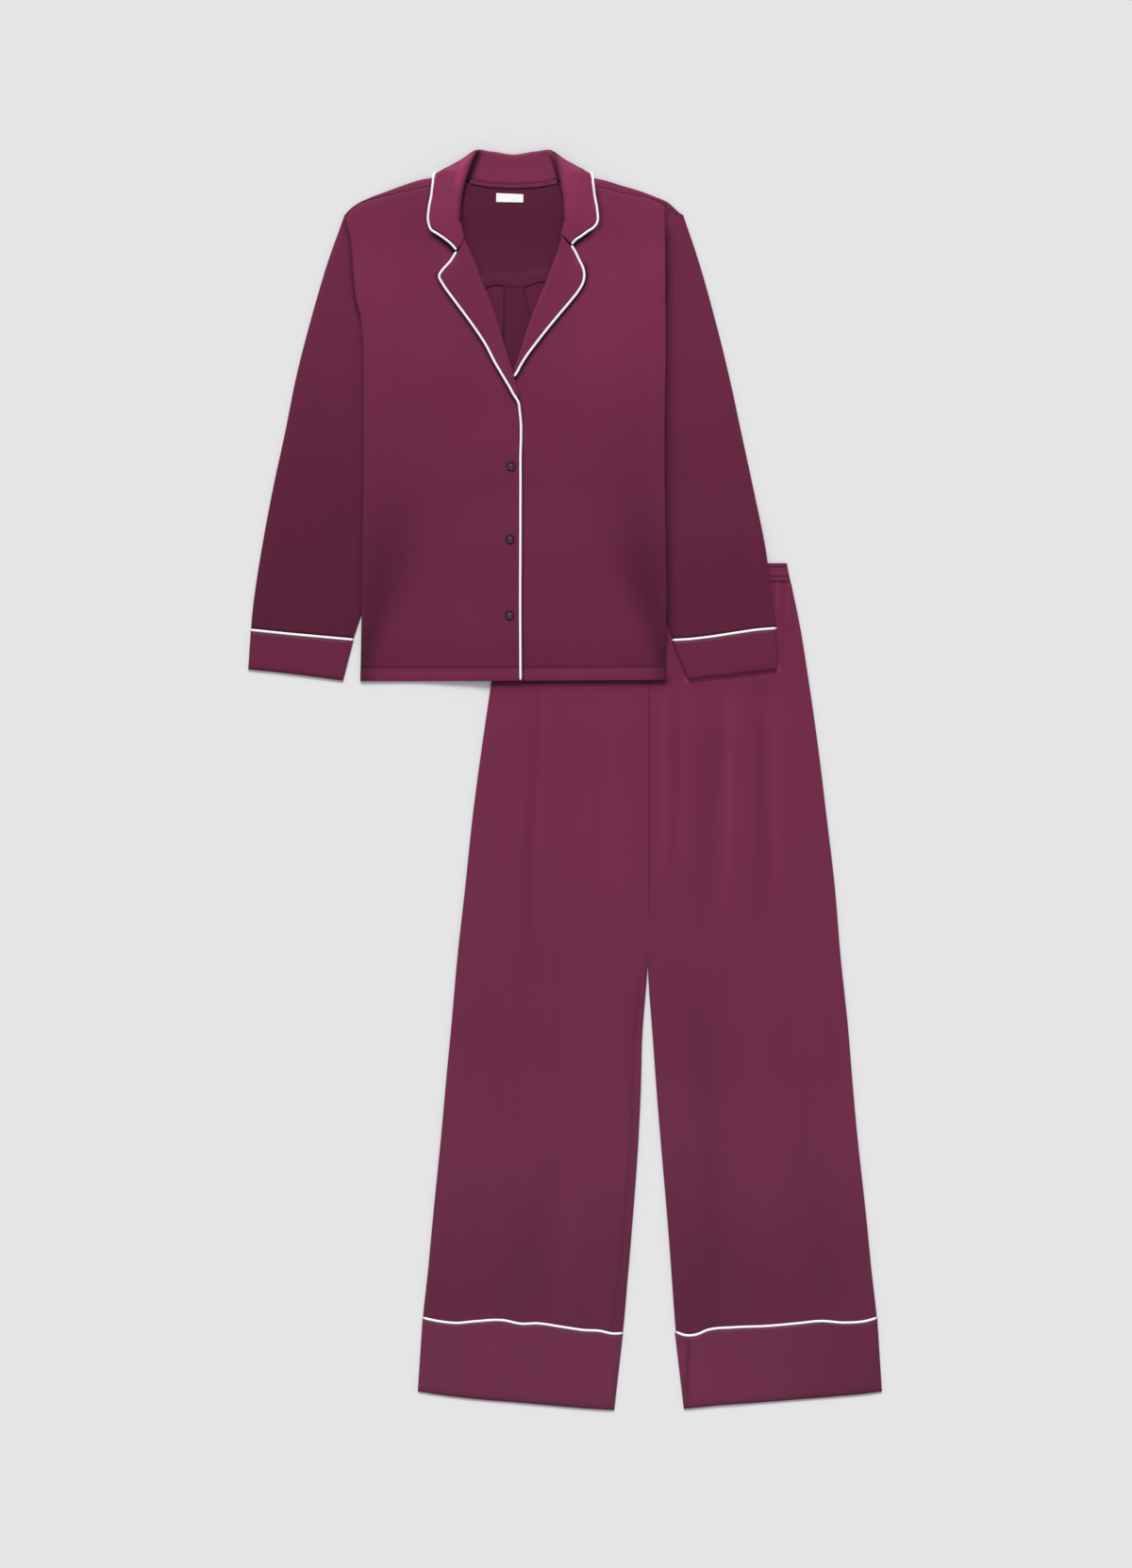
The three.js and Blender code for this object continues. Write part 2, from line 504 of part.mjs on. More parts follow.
/** A sheet given by its middle surface, half its thickness to each side. */
function thickSheet(middle, thickness) {
  const rows = middle.length;
  const columns = middle[0].length;
  const point = (r, c) => new THREE.Vector3(...middle[r][c]);
  const side = (half) => middle.map((row, r) => row.map((_, c) => {
    const along = point(Math.min(r + 1, rows - 1), c).sub(point(Math.max(r - 1, 0), c));
    const across = point(r, Math.min(c + 1, columns - 1)).sub(point(r, Math.max(c - 1, 0)));
    return point(r, c).addScaledVector(along.cross(across).normalize(), half).toArray();
  }));
  return solidBetween(side(thickness / 2), side(-thickness / 2));
}

/** A flattened tube of cloth: its underside and upper side share one plan and join at both edges. */
function flattenedTube(grid, low, high, wall = CLOTH) {
  const bevel = 0.7;
  const ringOf = (row, inset) => {
    const last = row.length - 1;
    const inward = (end, next, amount) => mix(end, next, amount / distance(end, next));
    const plan = [
      inward(row[0], row[1], inset),
      inward(row[0], row[1], inset + bevel),
      ...row.slice(1, last),
      inward(row[last], row[last - 1], inset + bevel),
      inward(row[last], row[last - 1], inset),
    ];
    const round = plan.map((_, i) => (i === 0 || i === plan.length - 1 ? bevel * (inset ? 0.1 : 1) : 0));
    const lower = plan.map(([x, y], i) => [x, y, low(x, y) + inset + round[i]]);
    const upper = plan.map(([x, y], i) => [x, y, high(x, y) - inset - round[i]]);
    return [...lower, ...upper.reverse()];
  };
  return solidBetween(grid.map((row) => ringOf(row, 0)), grid.map((row) => ringOf(row, wall)), true);
}

/** A cord along points, each with a direction across it and its half width and half height. */
function cordSolid(stations, closed = false) {
  const count = stations.length;
  const positions = [];
  const index = [];
  stations.forEach(({ at, across, halfWidth, halfHeight }, i) => {
    const before = stations[closed ? (i + count - 1) % count : Math.max(i - 1, 0)].at;
    const after = stations[closed ? (i + 1) % count : Math.min(i + 1, count - 1)].at;
    const tangent = new THREE.Vector3(...after).sub(new THREE.Vector3(...before)).normalize();
    const side = new THREE.Vector3(...across).normalize();
    const up = tangent.clone().cross(side).normalize();
    for (let k = 0; k < PIPING_SIDES; k += 1) {
      const angle = (2 * Math.PI * k) / PIPING_SIDES;
      const ringPoint = new THREE.Vector3(...at)
        .addScaledVector(side, Math.cos(angle) * halfWidth)
        .addScaledVector(up, Math.sin(angle) * halfHeight);
      positions.push(...ringPoint.toArray());
    }
  });
  const vertex = (i, k) => (i % count) * PIPING_SIDES + (k % PIPING_SIDES);
  for (let i = 0; i < (closed ? count : count - 1); i += 1) {
    for (let k = 0; k < PIPING_SIDES; k += 1) {
      index.push(vertex(i, k), vertex(i + 1, k), vertex(i + 1, k + 1));
      index.push(vertex(i, k), vertex(i + 1, k + 1), vertex(i, k + 1));
    }
  }
  if (!closed) {
    for (let k = 1; k < PIPING_SIDES - 1; k += 1) {
      index.push(vertex(0, 0), vertex(0, k), vertex(0, k + 1));
      index.push(vertex(count - 1, 0), vertex(count - 1, k + 1), vertex(count - 1, k));
    }
  }
  return outwardGeometry(positions, index);
}

/** Round piping along points in space, lying flat. */
function pipingAlong(points) {
  return cordSolid(points.map((at, i) => {
    const before = points[Math.max(i - 1, 0)];
    const after = points[Math.min(i + 1, points.length - 1)];
    const across = [before[1] - after[1], after[0] - before[0], 0];
    return { at, across, halfWidth: PIPING_RADIUS, halfHeight: PIPING_RADIUS };
  }));
}

/** Piping round a flattened tube: thin below, round on top, closed round both folded edges. */
function pipingRound(seamPoints, base) {
  const thin = 0.5;
  const round = 1.25;
  const lowest = thin + 0.05;
  const highest = lowest + thin + SEAM_GAP + round + 0.15;
  const last = seamPoints.length - 1;
  const station = (i, height, halfHeight) => {
    const [x, y] = seamPoints[i];
    const [behind, ahead] = [seamPoints[Math.max(i - 1, 0)], seamPoints[Math.min(i + 1, last)]];
    const across = [behind[1] - ahead[1], ahead[0] - behind[0], 0];
    return { at: [x, y, base(x, y) + height], across, halfWidth: PIPING_RADIUS, halfHeight };
  };
  const inner = seamPoints.map((_, i) => i).slice(1, -1);
  const below = inner.map((i) => station(i, lowest, thin));
  const above = inner.map((i) => station(i, highest, round)).reverse();
  const middle = (lowest + highest) / 2;
  return cordSolid([station(0, middle, thin), ...below, station(last, middle, thin), ...above], true);
}

/** One solid from overlapping solids. */
function joined(geometries) {
  const solids = geometries.map((geometry) => {
    const vertProperties = new Float32Array(geometry.getAttribute('position').array);
    const triVerts = new Uint32Array(geometry.getIndex().array);
    return new wasm.Manifold(new wasm.Mesh({ numProp: 3, vertProperties, triVerts }));
  });
  const mesh = solids.reduce((sum, solid) => sum.add(solid)).getMesh();
  const geometry = new THREE.BufferGeometry();
  geometry.setAttribute('position', new THREE.BufferAttribute(new Float32Array(mesh.vertProperties), 3));
  geometry.setIndex(new THREE.BufferAttribute(new Uint32Array(mesh.triVerts), 1));
  return geometry;
}

/** Points moved sideways in plan, to the left of their direction of travel. */
function shifted(points, amount) {
  return points.map((point, i) => {
    const before = points[Math.max(i - 1, 0)];
    const after = points[Math.min(i + 1, points.length - 1)];
    const length = distance(before, after);
    const [nx, ny] = [(before[1] - after[1]) / length, (after[0] - before[0]) / length];
    return [point[0] + nx * amount, point[1] + ny * amount, ...point.slice(2)];
  });
}

const satin = { color: 0x6d2c48, roughness: 0.5, metalness: 0 };
const satinInside = { color: 0x572238, roughness: 0.6, metalness: 0 };
const pipingWhite = { color: 0xf4f0f0, roughness: 0.6, metalness: 0 };
const buttonPlum = { color: 0x3c1c2c, roughness: 0.3, metalness: 0 };
const labelWhite = { color: 0xf2f0ef, roughness: 0.8, metalness: 0 };

const pyjamas = new THREE.Group();

function addPiece(name, geometry, finish) {
  const mesh = new THREE.Mesh(geometry, new THREE.MeshStandardMaterial(finish));
  mesh.name = name;
  geometry.computeVertexNormals();
  pyjamas.add(mesh);
}

/** Points along a smooth curve at the given fractions of its length. */
function sampled(points, fractions) {
  return fractions.map(curveThrough(points));
}

/** Front and back of one trouser leg, with the same outline. */
function addLeg(side, table, { seam }) {
  const outer = rowCurve(table.map((row) => row.outer));
  const inner = rowCurve(table.map((row) => row.inner));
  const last = table.length - 1;
  const [first, second] = side === 'right' ? [outer, inner] : [inner, outer];
  const foot = shifted(sampled(seam, SEAM_FRACTIONS), PIPING_REACH);
  const outline = [...table.map((row) => row.outer), ...table.map((row) => row.inner).reverse()];
  const under = (x, y) => {
    const shown = smooth((LEG_CROWN_TOP_Y - y) / 90);
    const inside = smooth(-outlineDistance(x, y, outline) / 35);
    return PLY + shown * inside * (LEG_CROWN + trouserFolds(x, y));
  };
  const bends = [{ points: foot, atRow: last, reach: 1 }];
  const frontGrid = planGrid(first, second, rowSteps(last, 1.5), SEAM_FRACTIONS, bends);
  const backGrid = planGrid(first, second, rowSteps(last), SEAM_FRACTIONS, bends);
  addPiece(`trouser_front_${side}`, laidSheet(frontGrid, under), satin);
  addPiece(`trouser_back_${side}`, laidSheet(backGrid, () => 0), satin);
}

/** The straight lines that join the ends of two rows of points. */
function endLines(top, bottom) {
  const start = (row) => mix(top[0], bottom[0], row);
  const end = (row) => mix(top[top.length - 1], bottom[bottom.length - 1], row);
  return [start, end];
}

/** A band or cuff between its piping and its hem, as a flattened tube, with the piping round it. */
function addEndBand(name, { seam, hem }, base, fractions, crownHeight) {
  const seamPoints = sampled(seam, fractions);
  const top = shifted(seamPoints, -PIPING_REACH);
  const bottom = sampled(hem, fractions);
  const grid = planGrid(...endLines(top, bottom), BAND_ROWS, fractions, [
    { points: top, atRow: 0, reach: 1 },
    { points: bottom, atRow: 1, reach: 1 },
  ]);
  const outline = [...top, ...[...bottom].reverse()];
  const high = (x, y) => base(x, y) + 2 * CLOTH + TUBE_SLACK + crown(x, y, outline, crownHeight, 20);
  addPiece(name, flattenedTube(grid, base, high), satin);
  addPiece(`piping_${name}`, pipingRound(seamPoints, base), pipingWhite);
}

/** Elastic waistband: a flattened ring with gathers on its front, in rows between lines of stitching. */
function addWaistband() {
  const { top, seam } = WAISTBAND;
  const steps = WAIST_GATHERS * 4;
  const columns = Array.from({ length: steps + 1 }, (_, i) => i / steps);
  const grid = planGrid(...endLines(top, seam), WAIST_ROWS, columns);
  const high = (x, y) => {
    const row = (top[0][1] - y) / (top[0][1] - seam[0][1]);
    const stitched = WAIST_STITCH_ROWS.some((line) => Math.abs(line - row) < 0.03);
    const gather = Math.cos((2 * Math.PI * WAIST_GATHERS * (x - top[0][0])) / (top[1][0] - top[0][0]));
    return 2 * CLOTH + 0.35 + (stitched ? 0.1 : 0.4) + WAIST_GATHER_HEIGHT * gather * (stitched ? 0.4 : 1);
  };
  addPiece('waistband', flattenedTube(grid, () => 0, high), satin);
}

/** A sleeve as a flattened tube from its armhole to the cuff seam. */
function addSleeve(side, { outer, under, cap }, { seam }, arm) {
  const last = outer.length - 1;
  const fractions = spread(6);
  const alongSeam = side === 'right' ? sampled(seam, fractions) : sampled([...seam].reverse(), fractions);
  const wrist = shifted(alongSeam, side === 'right' ? PIPING_REACH : -PIPING_REACH);
  const bends = [
    { points: sampled(cap, fractions), atRow: 0, reach: 2.4 },
    { points: wrist, atRow: last, reach: 1 },
  ];
  const grid = planGrid(rowCurve(outer), rowCurve(under), rowSteps(last, 1.5), fractions, bends);
  const high = (x, y) => overTrousers(x, y) + 2 * CLOTH + TUBE_SLACK + crown(x, y, arm, SLEEVE_CROWN, 28);
  addPiece(`sleeve_${side}`, flattenedTube(grid, overTrousers, high), satin);
}

/** The back below the yoke, with a box pleat at its middle that opens out downwards. */
function addBackBody() {
  const { rightFold, leftFold } = PLEAT;
  const columns = [0, 0.1, 0.2, 0.31, 0.41, 0.472, rightFold, leftFold, 0.547, 0.6, 0.7, 0.8, 0.9, 1];
  const last = BACK_BODY.length - 1;
  const rows = rowSteps(last, 2).filter((row) => row === 0 || row >= 1);
  const grid = planGrid(
    rowCurve(BACK_BODY.map((row) => row.right)),
    rowCurve(BACK_BODY.map((row) => row.left)),
    rows,
    columns,
    [{ points: sampled(shifted(YOKE_SEAM, -2 * SEAM_GAP), columns), atRow: last, reach: 1 }],
  );
  const pleated = (y) => PLEAT.raise * smooth((y - PLEAT.fadeTo) / (PLEAT.fadeFrom - PLEAT.fadeTo));
  const inPleat = (u) => u >= rightFold && u <= leftFold;
  const lower = grid.map((row) => row.map(([x, y]) => [x, y, underBack(x, y)]));
  const upper = grid.map((row) => row.map(([x, y], c) => [
    x,
    y,
    underBack(x, y) + CLOTH + (inPleat(columns[c]) ? pleated(y) : 0),
  ]));
  addPiece('back_body', solidBetween(upper, lower), satinInside);
}

/** The yoke: the upper back, turned over both shoulders to the seams with the fronts. */
function addYoke() {
  const fractions = spread(20, 0);
  const last = YOKE_SIDES.length - 1;
  const grid = planGrid(
    rowCurve(YOKE_SIDES.map((row) => row.right)),
    rowCurve(YOKE_SIDES.map((row) => row.left)),
    rowSteps(last),
    fractions,
    [
      { points: sampled(YOKE_SEAM, fractions), atRow: 0, reach: 1 },
      { points: sampled(YOKE_TOP, fractions), atRow: last, reach: last },
    ],
  );
  const overShoulder = (shoulder, forward) => {
    const steps = spread(8);
    const fold = sampled(shoulder, steps);
    const seam = shifted(sampled(forward, steps), 2 * SEAM_GAP);
    return [
      laidSheet([seam, fold], (x, y) => underBack(x, y) + PLY + FRONT_OVER_BACK),
      laidSheet([shifted(fold, SHOULDER_FOLD_WIDTH), fold], underBack, () => PLY + FRONT_OVER_BACK + CLOTH),
    ];
  };
  addPiece('back_yoke', joined([
    laidSheet(grid, underBack),
    ...overShoulder(SHOULDER_RIGHT, FORWARD_SEAM_RIGHT),
    ...overShoulder(SHOULDER_LEFT, FORWARD_SEAM_LEFT),
  ]), satin);
}

/** A front of the jacket between its side and its front edge. */
function addFront(side, table, forward, under) {
  const first = rowCurve(table.map((row) => (side === 'right' ? row.side : row.edge)));
  const second = rowCurve(table.map((row) => (side === 'right' ? row.edge : row.side)));
  const last = table.length - 1;
  const rows = rowSteps(last, 2).filter((row) => row === 0 || row >= 1);
  const columns = spread(8);
  const bends = [{ points: sampled(forward, columns), atRow: last, reach: 1.6 }];
  const grid = planGrid(first, second, rows, columns, bends);
  addPiece(`front_${side}`, laidSheet(grid, under, (x, y) => CLOTH + hemRaise(y)), satin);
}

/** A lapel, from its piped edge over the roll and under it. Returns the line of its piping. */
function addLapel(side, table, under) {
  const steps = rowSteps(table.length - 1, 1.5);
  const onFront = ([x, y], height) => [x, y, under(x, y) + CLOTH + height];
  const rolls = steps.map(rowCurve(table.map((row) => row.roll)));
  const edges = steps.map(rowCurve(table.map((row) => row.edge)));
  const lifts = steps.map(rowCurve(table.map((row) => [row.lift, 0])));
  const clothEdges = shifted(edges, side === 'right' ? PIPING_REACH : -PIPING_REACH);
  const middle = steps.map((_, i) => {
    const width = distance(rolls[i], clothEdges[i]);
    const lift = lifts[i][0];
    const place = (across, height) => {
      return onFront(mix(rolls[i], clothEdges[i], Math.min(1, across / width)), height);
    };
    return [
      place(width, LAPEL_EDGE_HEIGHT),
      place(width * 0.75, mix([LAPEL_EDGE_HEIGHT], [lift], 0.25)[0]),
      place(width * 0.5, mix([LAPEL_EDGE_HEIGHT], [lift], 0.6)[0]),
      place(Math.max(width * 0.25, lift * 0.45), lift),
      place(lift * 0.17, lift * 0.92),
      place(0, lift * 0.5),
      place(lift * 0.15, lift * 0.12),
      place(Math.min(LAPEL_TURNED_UNDER, width * 0.45), -CLOTH / 2),
    ];
  });
  addPiece(`lapel_${side}`, thickSheet(middle, CLOTH), satin);
  return edges.map((point) => onFront(point, PIPING_RADIUS + SEAM_GAP));
}

/** A collar row on the wearer's left, worked out from the same row on the right. */
function mirrored(row) {
  const flip = ([x, y], scale) => {
    const { amount, belowY, over } = COLLAR_LEFT_RISE;
    const rise = amount * Math.min(1, Math.max(0, (belowY - y) / over));
    return [COLLAR_AXIS_X + (COLLAR_AXIS_X - x) * scale, y + rise];
  };
  return {
    ...row,
    neck: flip(row.neck, 0.97),
    roll: flip(row.roll, 0.96),
    fold: flip(row.fold, 0.985),
    edge: flip(row.edge, 0.985),
  };
}

/** The collar: one sheet from the neck seam over the roll to the piped edge, all round the neck. */
function addCollar() {
  const rows = [...COLLAR, ...COLLAR.slice(0, -1).reverse().map(mirrored)];
  const section = (row, index) => {
    const { neck, roll, fold, edge, neckZ, innerZ, rollZ, outerZ, turnZ, backZ, edgeZ, slack = 0 } = row;
    const cloth = mix(edge, fold, (PIPING_REACH + slack) / distance(edge, fold));
    const end = { 0: COLLAR_END_RIGHT, [rows.length - 1]: COLLAR_END_LEFT }[index];
    const across = [mix(roll, fold, 0.22), mix(roll, fold, 0.8), fold];
    const behind = [mix(fold, cloth, 0.3), mix(fold, cloth, 0.65), cloth];
    const fall = end ? end.map((point) => point.cloth) : [...across, ...behind];
    const heights = [outerZ, (outerZ + turnZ * 3) / 4, turnZ, (turnZ + backZ) / 2, backZ, edgeZ];
    return [
      [...neck, neckZ],
      [...mix(neck, roll, 0.5), (neckZ + innerZ) / 2 - 0.2],
      [...mix(neck, roll, 0.88), innerZ],
      [...roll, rollZ],
      ...fall.map(([x, y], i) => [x, y, heights[i]]),
    ];
  };
  const sections = rows.map(section);
  const columns = sections[0].map((_, c) => rowCurve(sections.map((points) => points[c])));
  const steps = rowSteps(rows.length - 1, 2);
  addPiece('collar', thickSheet(steps.map((row) => columns.map((column) => column(row))), CLOTH), satin);
  const edge = rowCurve(rows.map((row) => [...row.edge, row.edgeZ]));
  const around = steps.slice(1, -1).map((row) => edge(row));
  const end = (points) => points.map(({ piping: [x, y] }) => [x, y, rows[0].edgeZ]).slice(1);
  const line = [...end(COLLAR_END_RIGHT), ...around, ...end(COLLAR_END_LEFT).reverse()];
  addPiece('piping_collar', pipingAlong(line), pipingWhite);
}

/** Tape over the back neck seam, and the blank label below it. */
function addNeckTrims() {
  const seam = curveThrough(NECK_TAPE_SEAM);
  const tape = [0, 1].map((v) => spread(12, 0).map((u) => {
    const [x, y] = seam(u);
    return [x, y + v * NECK_TAPE_WIDTH];
  }));
  const onYoke = (x, y) => underBack(x, y) + CLOTH + SEAM_GAP;
  addPiece('neck_tape', laidSheet(tape, onYoke, () => NECK_TAPE_THICKNESS), satin);
  addPiece('neck_label', laidSheet(LABEL, onYoke, () => LABEL_THICKNESS), labelWhite);
}

/** Round buttons with a rim and a dished middle, lying on the right front. */
function addButtons() {
  const radius = BUTTON_DIAMETER / 2;
  const profile = [
    [0, 0],
    [radius - 0.7, 0],
    [radius, 0.8],
    [radius, BUTTON_THICKNESS - 0.5],
    [radius - 0.6, BUTTON_THICKNESS],
    [radius - BUTTON_RIM, BUTTON_THICKNESS],
    [radius - BUTTON_RIM - 0.7, BUTTON_THICKNESS - 0.7],
    [0, BUTTON_THICKNESS - 0.7],
  ].map(([r, z]) => new THREE.Vector2(r, z));
  for (const { name, x, y } of BUTTONS) {
    const geometry = new THREE.LatheGeometry(profile, 14);
    geometry.rotateX(Math.PI / 2);
    geometry.translate(x, y, underFrontRight(x, y) + CLOTH + SEAM_GAP);
    addPiece(name, geometry, buttonPlum);
  }
}

addLeg('right', LEG_RIGHT, BAND_RIGHT);
addLeg('left', LEG_LEFT, BAND_LEFT);
addEndBand('trouser_band_right', BAND_RIGHT, () => 0, SEAM_FRACTIONS, BAND_CROWN);
addEndBand('trouser_band_left', BAND_LEFT, () => 0, SEAM_FRACTIONS, BAND_CROWN);
addWaistband();
addSleeve('right', SLEEVE_RIGHT, CUFF_RIGHT, ARM_RIGHT);
addSleeve('left', SLEEVE_LEFT, CUFF_LEFT, ARM_LEFT);
addEndBand('cuff_right', CUFF_RIGHT, overTrousers, spread(6), CUFF_CROWN);
addEndBand('cuff_left', CUFF_LEFT, overTrousers, spread(6), CUFF_CROWN);
addBackBody();
addYoke();
addFront('right', FRONT_RIGHT, FORWARD_SEAM_RIGHT, underFrontRight);
addFront('left', FRONT_LEFT, FORWARD_SEAM_LEFT, underFrontLeft);
const rightEdge = addLapel('right', LAPEL_RIGHT, underFrontRight);
const leftEdge = addLapel('left', LAPEL_LEFT, underFrontLeft);
const downFront = BREAK_TO_HEM.map(([x, y, height]) => [x, y, underFrontRight(x, y) + height]);
addPiece('piping_front', pipingAlong([...rightEdge, ...downFront]), pipingWhite);
addPiece('piping_lapel', pipingAlong(leftEdge), pipingWhite);
addCollar();
addNeckTrims();
addButtons();

export default pyjamas;
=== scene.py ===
"""A pyjama set laid flat: a long-sleeved jacket with a notch collar over wide-legged trousers.

Lengths in the tables are in millimetres: X runs to the wearer's left, Y from the hems up to the collar and Z
up from the floor. Each mesh is made in metres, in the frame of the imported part. A right piece is on the
wearer's right, at negative X.
"""

from __future__ import annotations

import logging
import math
from dataclasses import dataclass
from enum import Enum
from typing import Callable, Sequence

import bpy
import numpy as np
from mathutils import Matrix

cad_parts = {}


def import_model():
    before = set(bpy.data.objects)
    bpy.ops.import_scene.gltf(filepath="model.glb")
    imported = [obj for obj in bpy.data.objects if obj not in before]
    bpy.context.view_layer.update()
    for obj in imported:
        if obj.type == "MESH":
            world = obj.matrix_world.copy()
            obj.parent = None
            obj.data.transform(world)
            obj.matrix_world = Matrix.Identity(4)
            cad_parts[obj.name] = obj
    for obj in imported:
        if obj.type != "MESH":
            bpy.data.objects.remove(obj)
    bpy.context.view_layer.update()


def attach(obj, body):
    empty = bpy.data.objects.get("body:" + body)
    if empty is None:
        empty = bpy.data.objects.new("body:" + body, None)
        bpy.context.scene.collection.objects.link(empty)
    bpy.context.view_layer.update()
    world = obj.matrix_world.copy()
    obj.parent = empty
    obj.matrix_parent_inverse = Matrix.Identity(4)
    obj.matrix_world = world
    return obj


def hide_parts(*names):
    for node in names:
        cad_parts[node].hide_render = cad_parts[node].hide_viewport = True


LOG = logging.getLogger("pyjamas")
MM = 0.001
Points = Sequence[Sequence[float]]
Height = Callable[[np.ndarray], np.ndarray]
Tone = Height | np.ndarray | float
Rim = Callable[[np.ndarray], tuple[np.ndarray, np.ndarray]]

# Cloth and seams
CLOTH = 1.0
SEAM_GAP = 0.3
PLY = CLOTH + SEAM_GAP
SEAM_DEPTH = 0.35
SEAM_WIDTH = 2.2

# Piping, and how far the cloth beside it ends from its middle
PIPING_RADIUS = 1.6
PIPING_REACH = PIPING_RADIUS + 0.15

# How far each layer lifts what lies on it
TROUSERS_UNDER_JACKET = 3.6
SLEEVE_UNDER_BODY = 3.1
COLLAR_UNDER_YOKE = 3.6
FRONT_OVER_BACK = 0.25

# Lines that several pieces share
TROUSER_CENTRE_X = 107.1
HEM_STITCH_Y = 143.4
COLLAR_AXIS_X = -65.4

# Gathers below the waistband: the first one, their spacing and where they start
GATHER_X = -2.0
GATHER_SPACING = 13.0
GATHER_TOP_Y = 250.0


class Side(Enum):
    """The wearer's side that a piece is on."""

    RIGHT = "right"
    LEFT = "left"


class Round(Enum):
    """The side of a laid tube that goes round it, and so is cut twice as long."""

    LONG = "long"
    SHORT = "short"


class Slot(Enum):
    """The record's material slots."""

    SATIN = "satin_plum"
    PIPING = "piping_white"
    LABEL = "label_white"
    BUTTON = "button_plum"


# Tables of the garments: lines in plan, x and y in millimetres
ARMHOLE = {
    Side.RIGHT: ((-282.4, 716.6), (-275.6, 693), (-272.9, 671), (-270, 638), (-267, 609.5), (-261, 588)),
    Side.LEFT: ((149.8, 717.6), (143.4, 718.6), (136.5, 724.6), (129.2, 730.4), (128.9, 724), (128.9, 700),
                (128.9, 662), (128.9, 632), (128.9, 606)),
}
FRONT_SIDE = {
    Side.RIGHT: ((-260.5, 126), (-260, 143), (-258.5, 224.5), (-257, 320), (-256, 410), (-256, 480),
                 (-256.2, 530), (-257.5, 570), (-261, 590), (-266, 611), (-269.2, 640), (-272, 671),
                 (-274.5, 693), (-280.3, 714.5)),
    Side.LEFT: ((127, 127), (127.3, 144), (129, 222), (127.7, 316), (126.6, 405), (127, 480), (128, 530),
                (128.2, 570), (127.9, 606), (127.9, 632), (127.9, 660), (127.9, 690), (127.8, 712),
                (127.4, 731)),
}
FRONT_EDGE = {
    Side.RIGHT: ((-58.4, 126), (-58.6, 143), (-58.9, 222), (-58.6, 316), (-58.8, 405), (-60.6, 464),
                 (-66.5, 499), (-79.5, 545), (-94, 592), (-107.4, 625), (-118, 653), (-133, 682),
                 (-144.6, 715), (-144.6, 759)),
    Side.LEFT: ((-84, 126), (-84, 143), (-84, 222), (-84, 316), (-84, 405), (-83, 464), (-68.5, 499),
                (-49.5, 545), (-37, 591), (-24.5, 623), (-13, 651), (2, 685), (13, 715), (13.5, 757)),
}
FORWARD_SEAM = {
    Side.RIGHT: ((-280.3, 714.5), (-269, 727), (-255.5, 735), (-236.5, 740.5), (-207.5, 747),
                 (-170.5, 754.6), (-144.6, 759)),
    Side.LEFT: ((13.5, 757), (39.5, 754), (79, 745), (109, 739), (126, 732), (136.5, 724.5),
                (147.2, 712.8)),
}
# The fronts' top edges: the left one ends where its armhole meets the seam
FRONT_TOP = {
    Side.RIGHT: FORWARD_SEAM[Side.RIGHT],
    Side.LEFT: (*FORWARD_SEAM[Side.LEFT][:4], (127.4, 731)),
}
SHOULDER = {
    Side.RIGHT: ((-280.8, 718), (-273.5, 726), (-264, 733), (-248.5, 740.5), (-228, 748), (-203, 757),
                 (-181, 763.5), (-168, 765.4), (-145.2, 766)),
    Side.LEFT: ((14.2, 766), (34, 765.4), (49, 762.5), (71, 756), (95, 749), (115, 741.5), (131, 734.5),
                (141.5, 725), (147.8, 719.4)),
}
# The back's sides, which are the fronts' up to the waist
BACK_SIDE = {
    Side.RIGHT: (*FRONT_SIDE[Side.RIGHT][:5], (-256.2, 500), (-257.5, 570), (-261.5, 592), (-267.5, 624)),
    Side.LEFT: (*FRONT_SIDE[Side.LEFT][:5], (127, 495), (128.2, 570), (128.4, 600), (128.8, 626)),
}
YOKE_SEAM = ((-267.9, 626.2), (-200, 626.5), (-130, 624.5), (-104, 624.5), (-91.6, 629.3), (-76.8, 628.8),
             (-62.5, 626), (-48, 628.2), (-33.4, 633), (-20, 633), (30, 628.4), (127.9, 628))
YOKE_SIDE = {
    Side.RIGHT: ((-267.9, 626.2), (-269.6, 645), (-272, 671), (-274.6, 693), (-280.4, 716.4)),
    Side.LEFT: ((127.9, 628), (128.2, 648), (131, 675), (139.4, 695), (147.6, 718.2)),
}
YOKE_TOP = ((-280.4, 716.4), (-264, 732), (-228, 747), (-181, 762.6), (-160, 765), (-144, 765),
            (-137, 764.6), (-129.5, 762.6), (-120, 758.4), (-101, 755.4), (-65.4, 753.4), (-30, 755.4),
            (-11, 758.4), (-2, 762.6), (6, 764.6), (13, 765), (30, 764.4), (49, 761.6), (95, 748),
            (131, 733), (147.6, 718.2))
SLEEVE_OUTER = {
    Side.RIGHT: ((-282.4, 716.6), (-303.5, 656.5), (-324, 584.5), (-342, 512.5), (-356.5, 440.5),
                 (-372, 368.5), (-385.4, 296.5), (-396.2, 224.5), (-398.6, 194.4)),
    Side.LEFT: ((149.8, 717.6), (170.5, 656.5), (191, 584.5), (209, 512.5), (224.5, 440.5), (240, 368.5),
                (254.5, 296.5), (263.4, 224.5), (267, 195.4)),
}
SLEEVE_UNDER = {
    Side.RIGHT: ((-179, 518.5), (-186, 482), (-193, 446.5), (-203, 404), (-213.5, 362.5), (-225, 320),
                 (-236.5, 278.5), (-257.4, 218), (-270.4, 180.6)),
    Side.LEFT: ((49, 518.5), (56, 482), (63.5, 446.5), (73.5, 404), (84, 362.5), (95.5, 320), (107, 278.5),
                (126, 218), (138, 180.6)),
}
SLEEVE_CAP_END = {
    Side.RIGHT: ((-239, 564), (-209, 539), (-179, 518.5)),
    Side.LEFT: ((109, 570), (79, 540), (49, 518.5)),
}
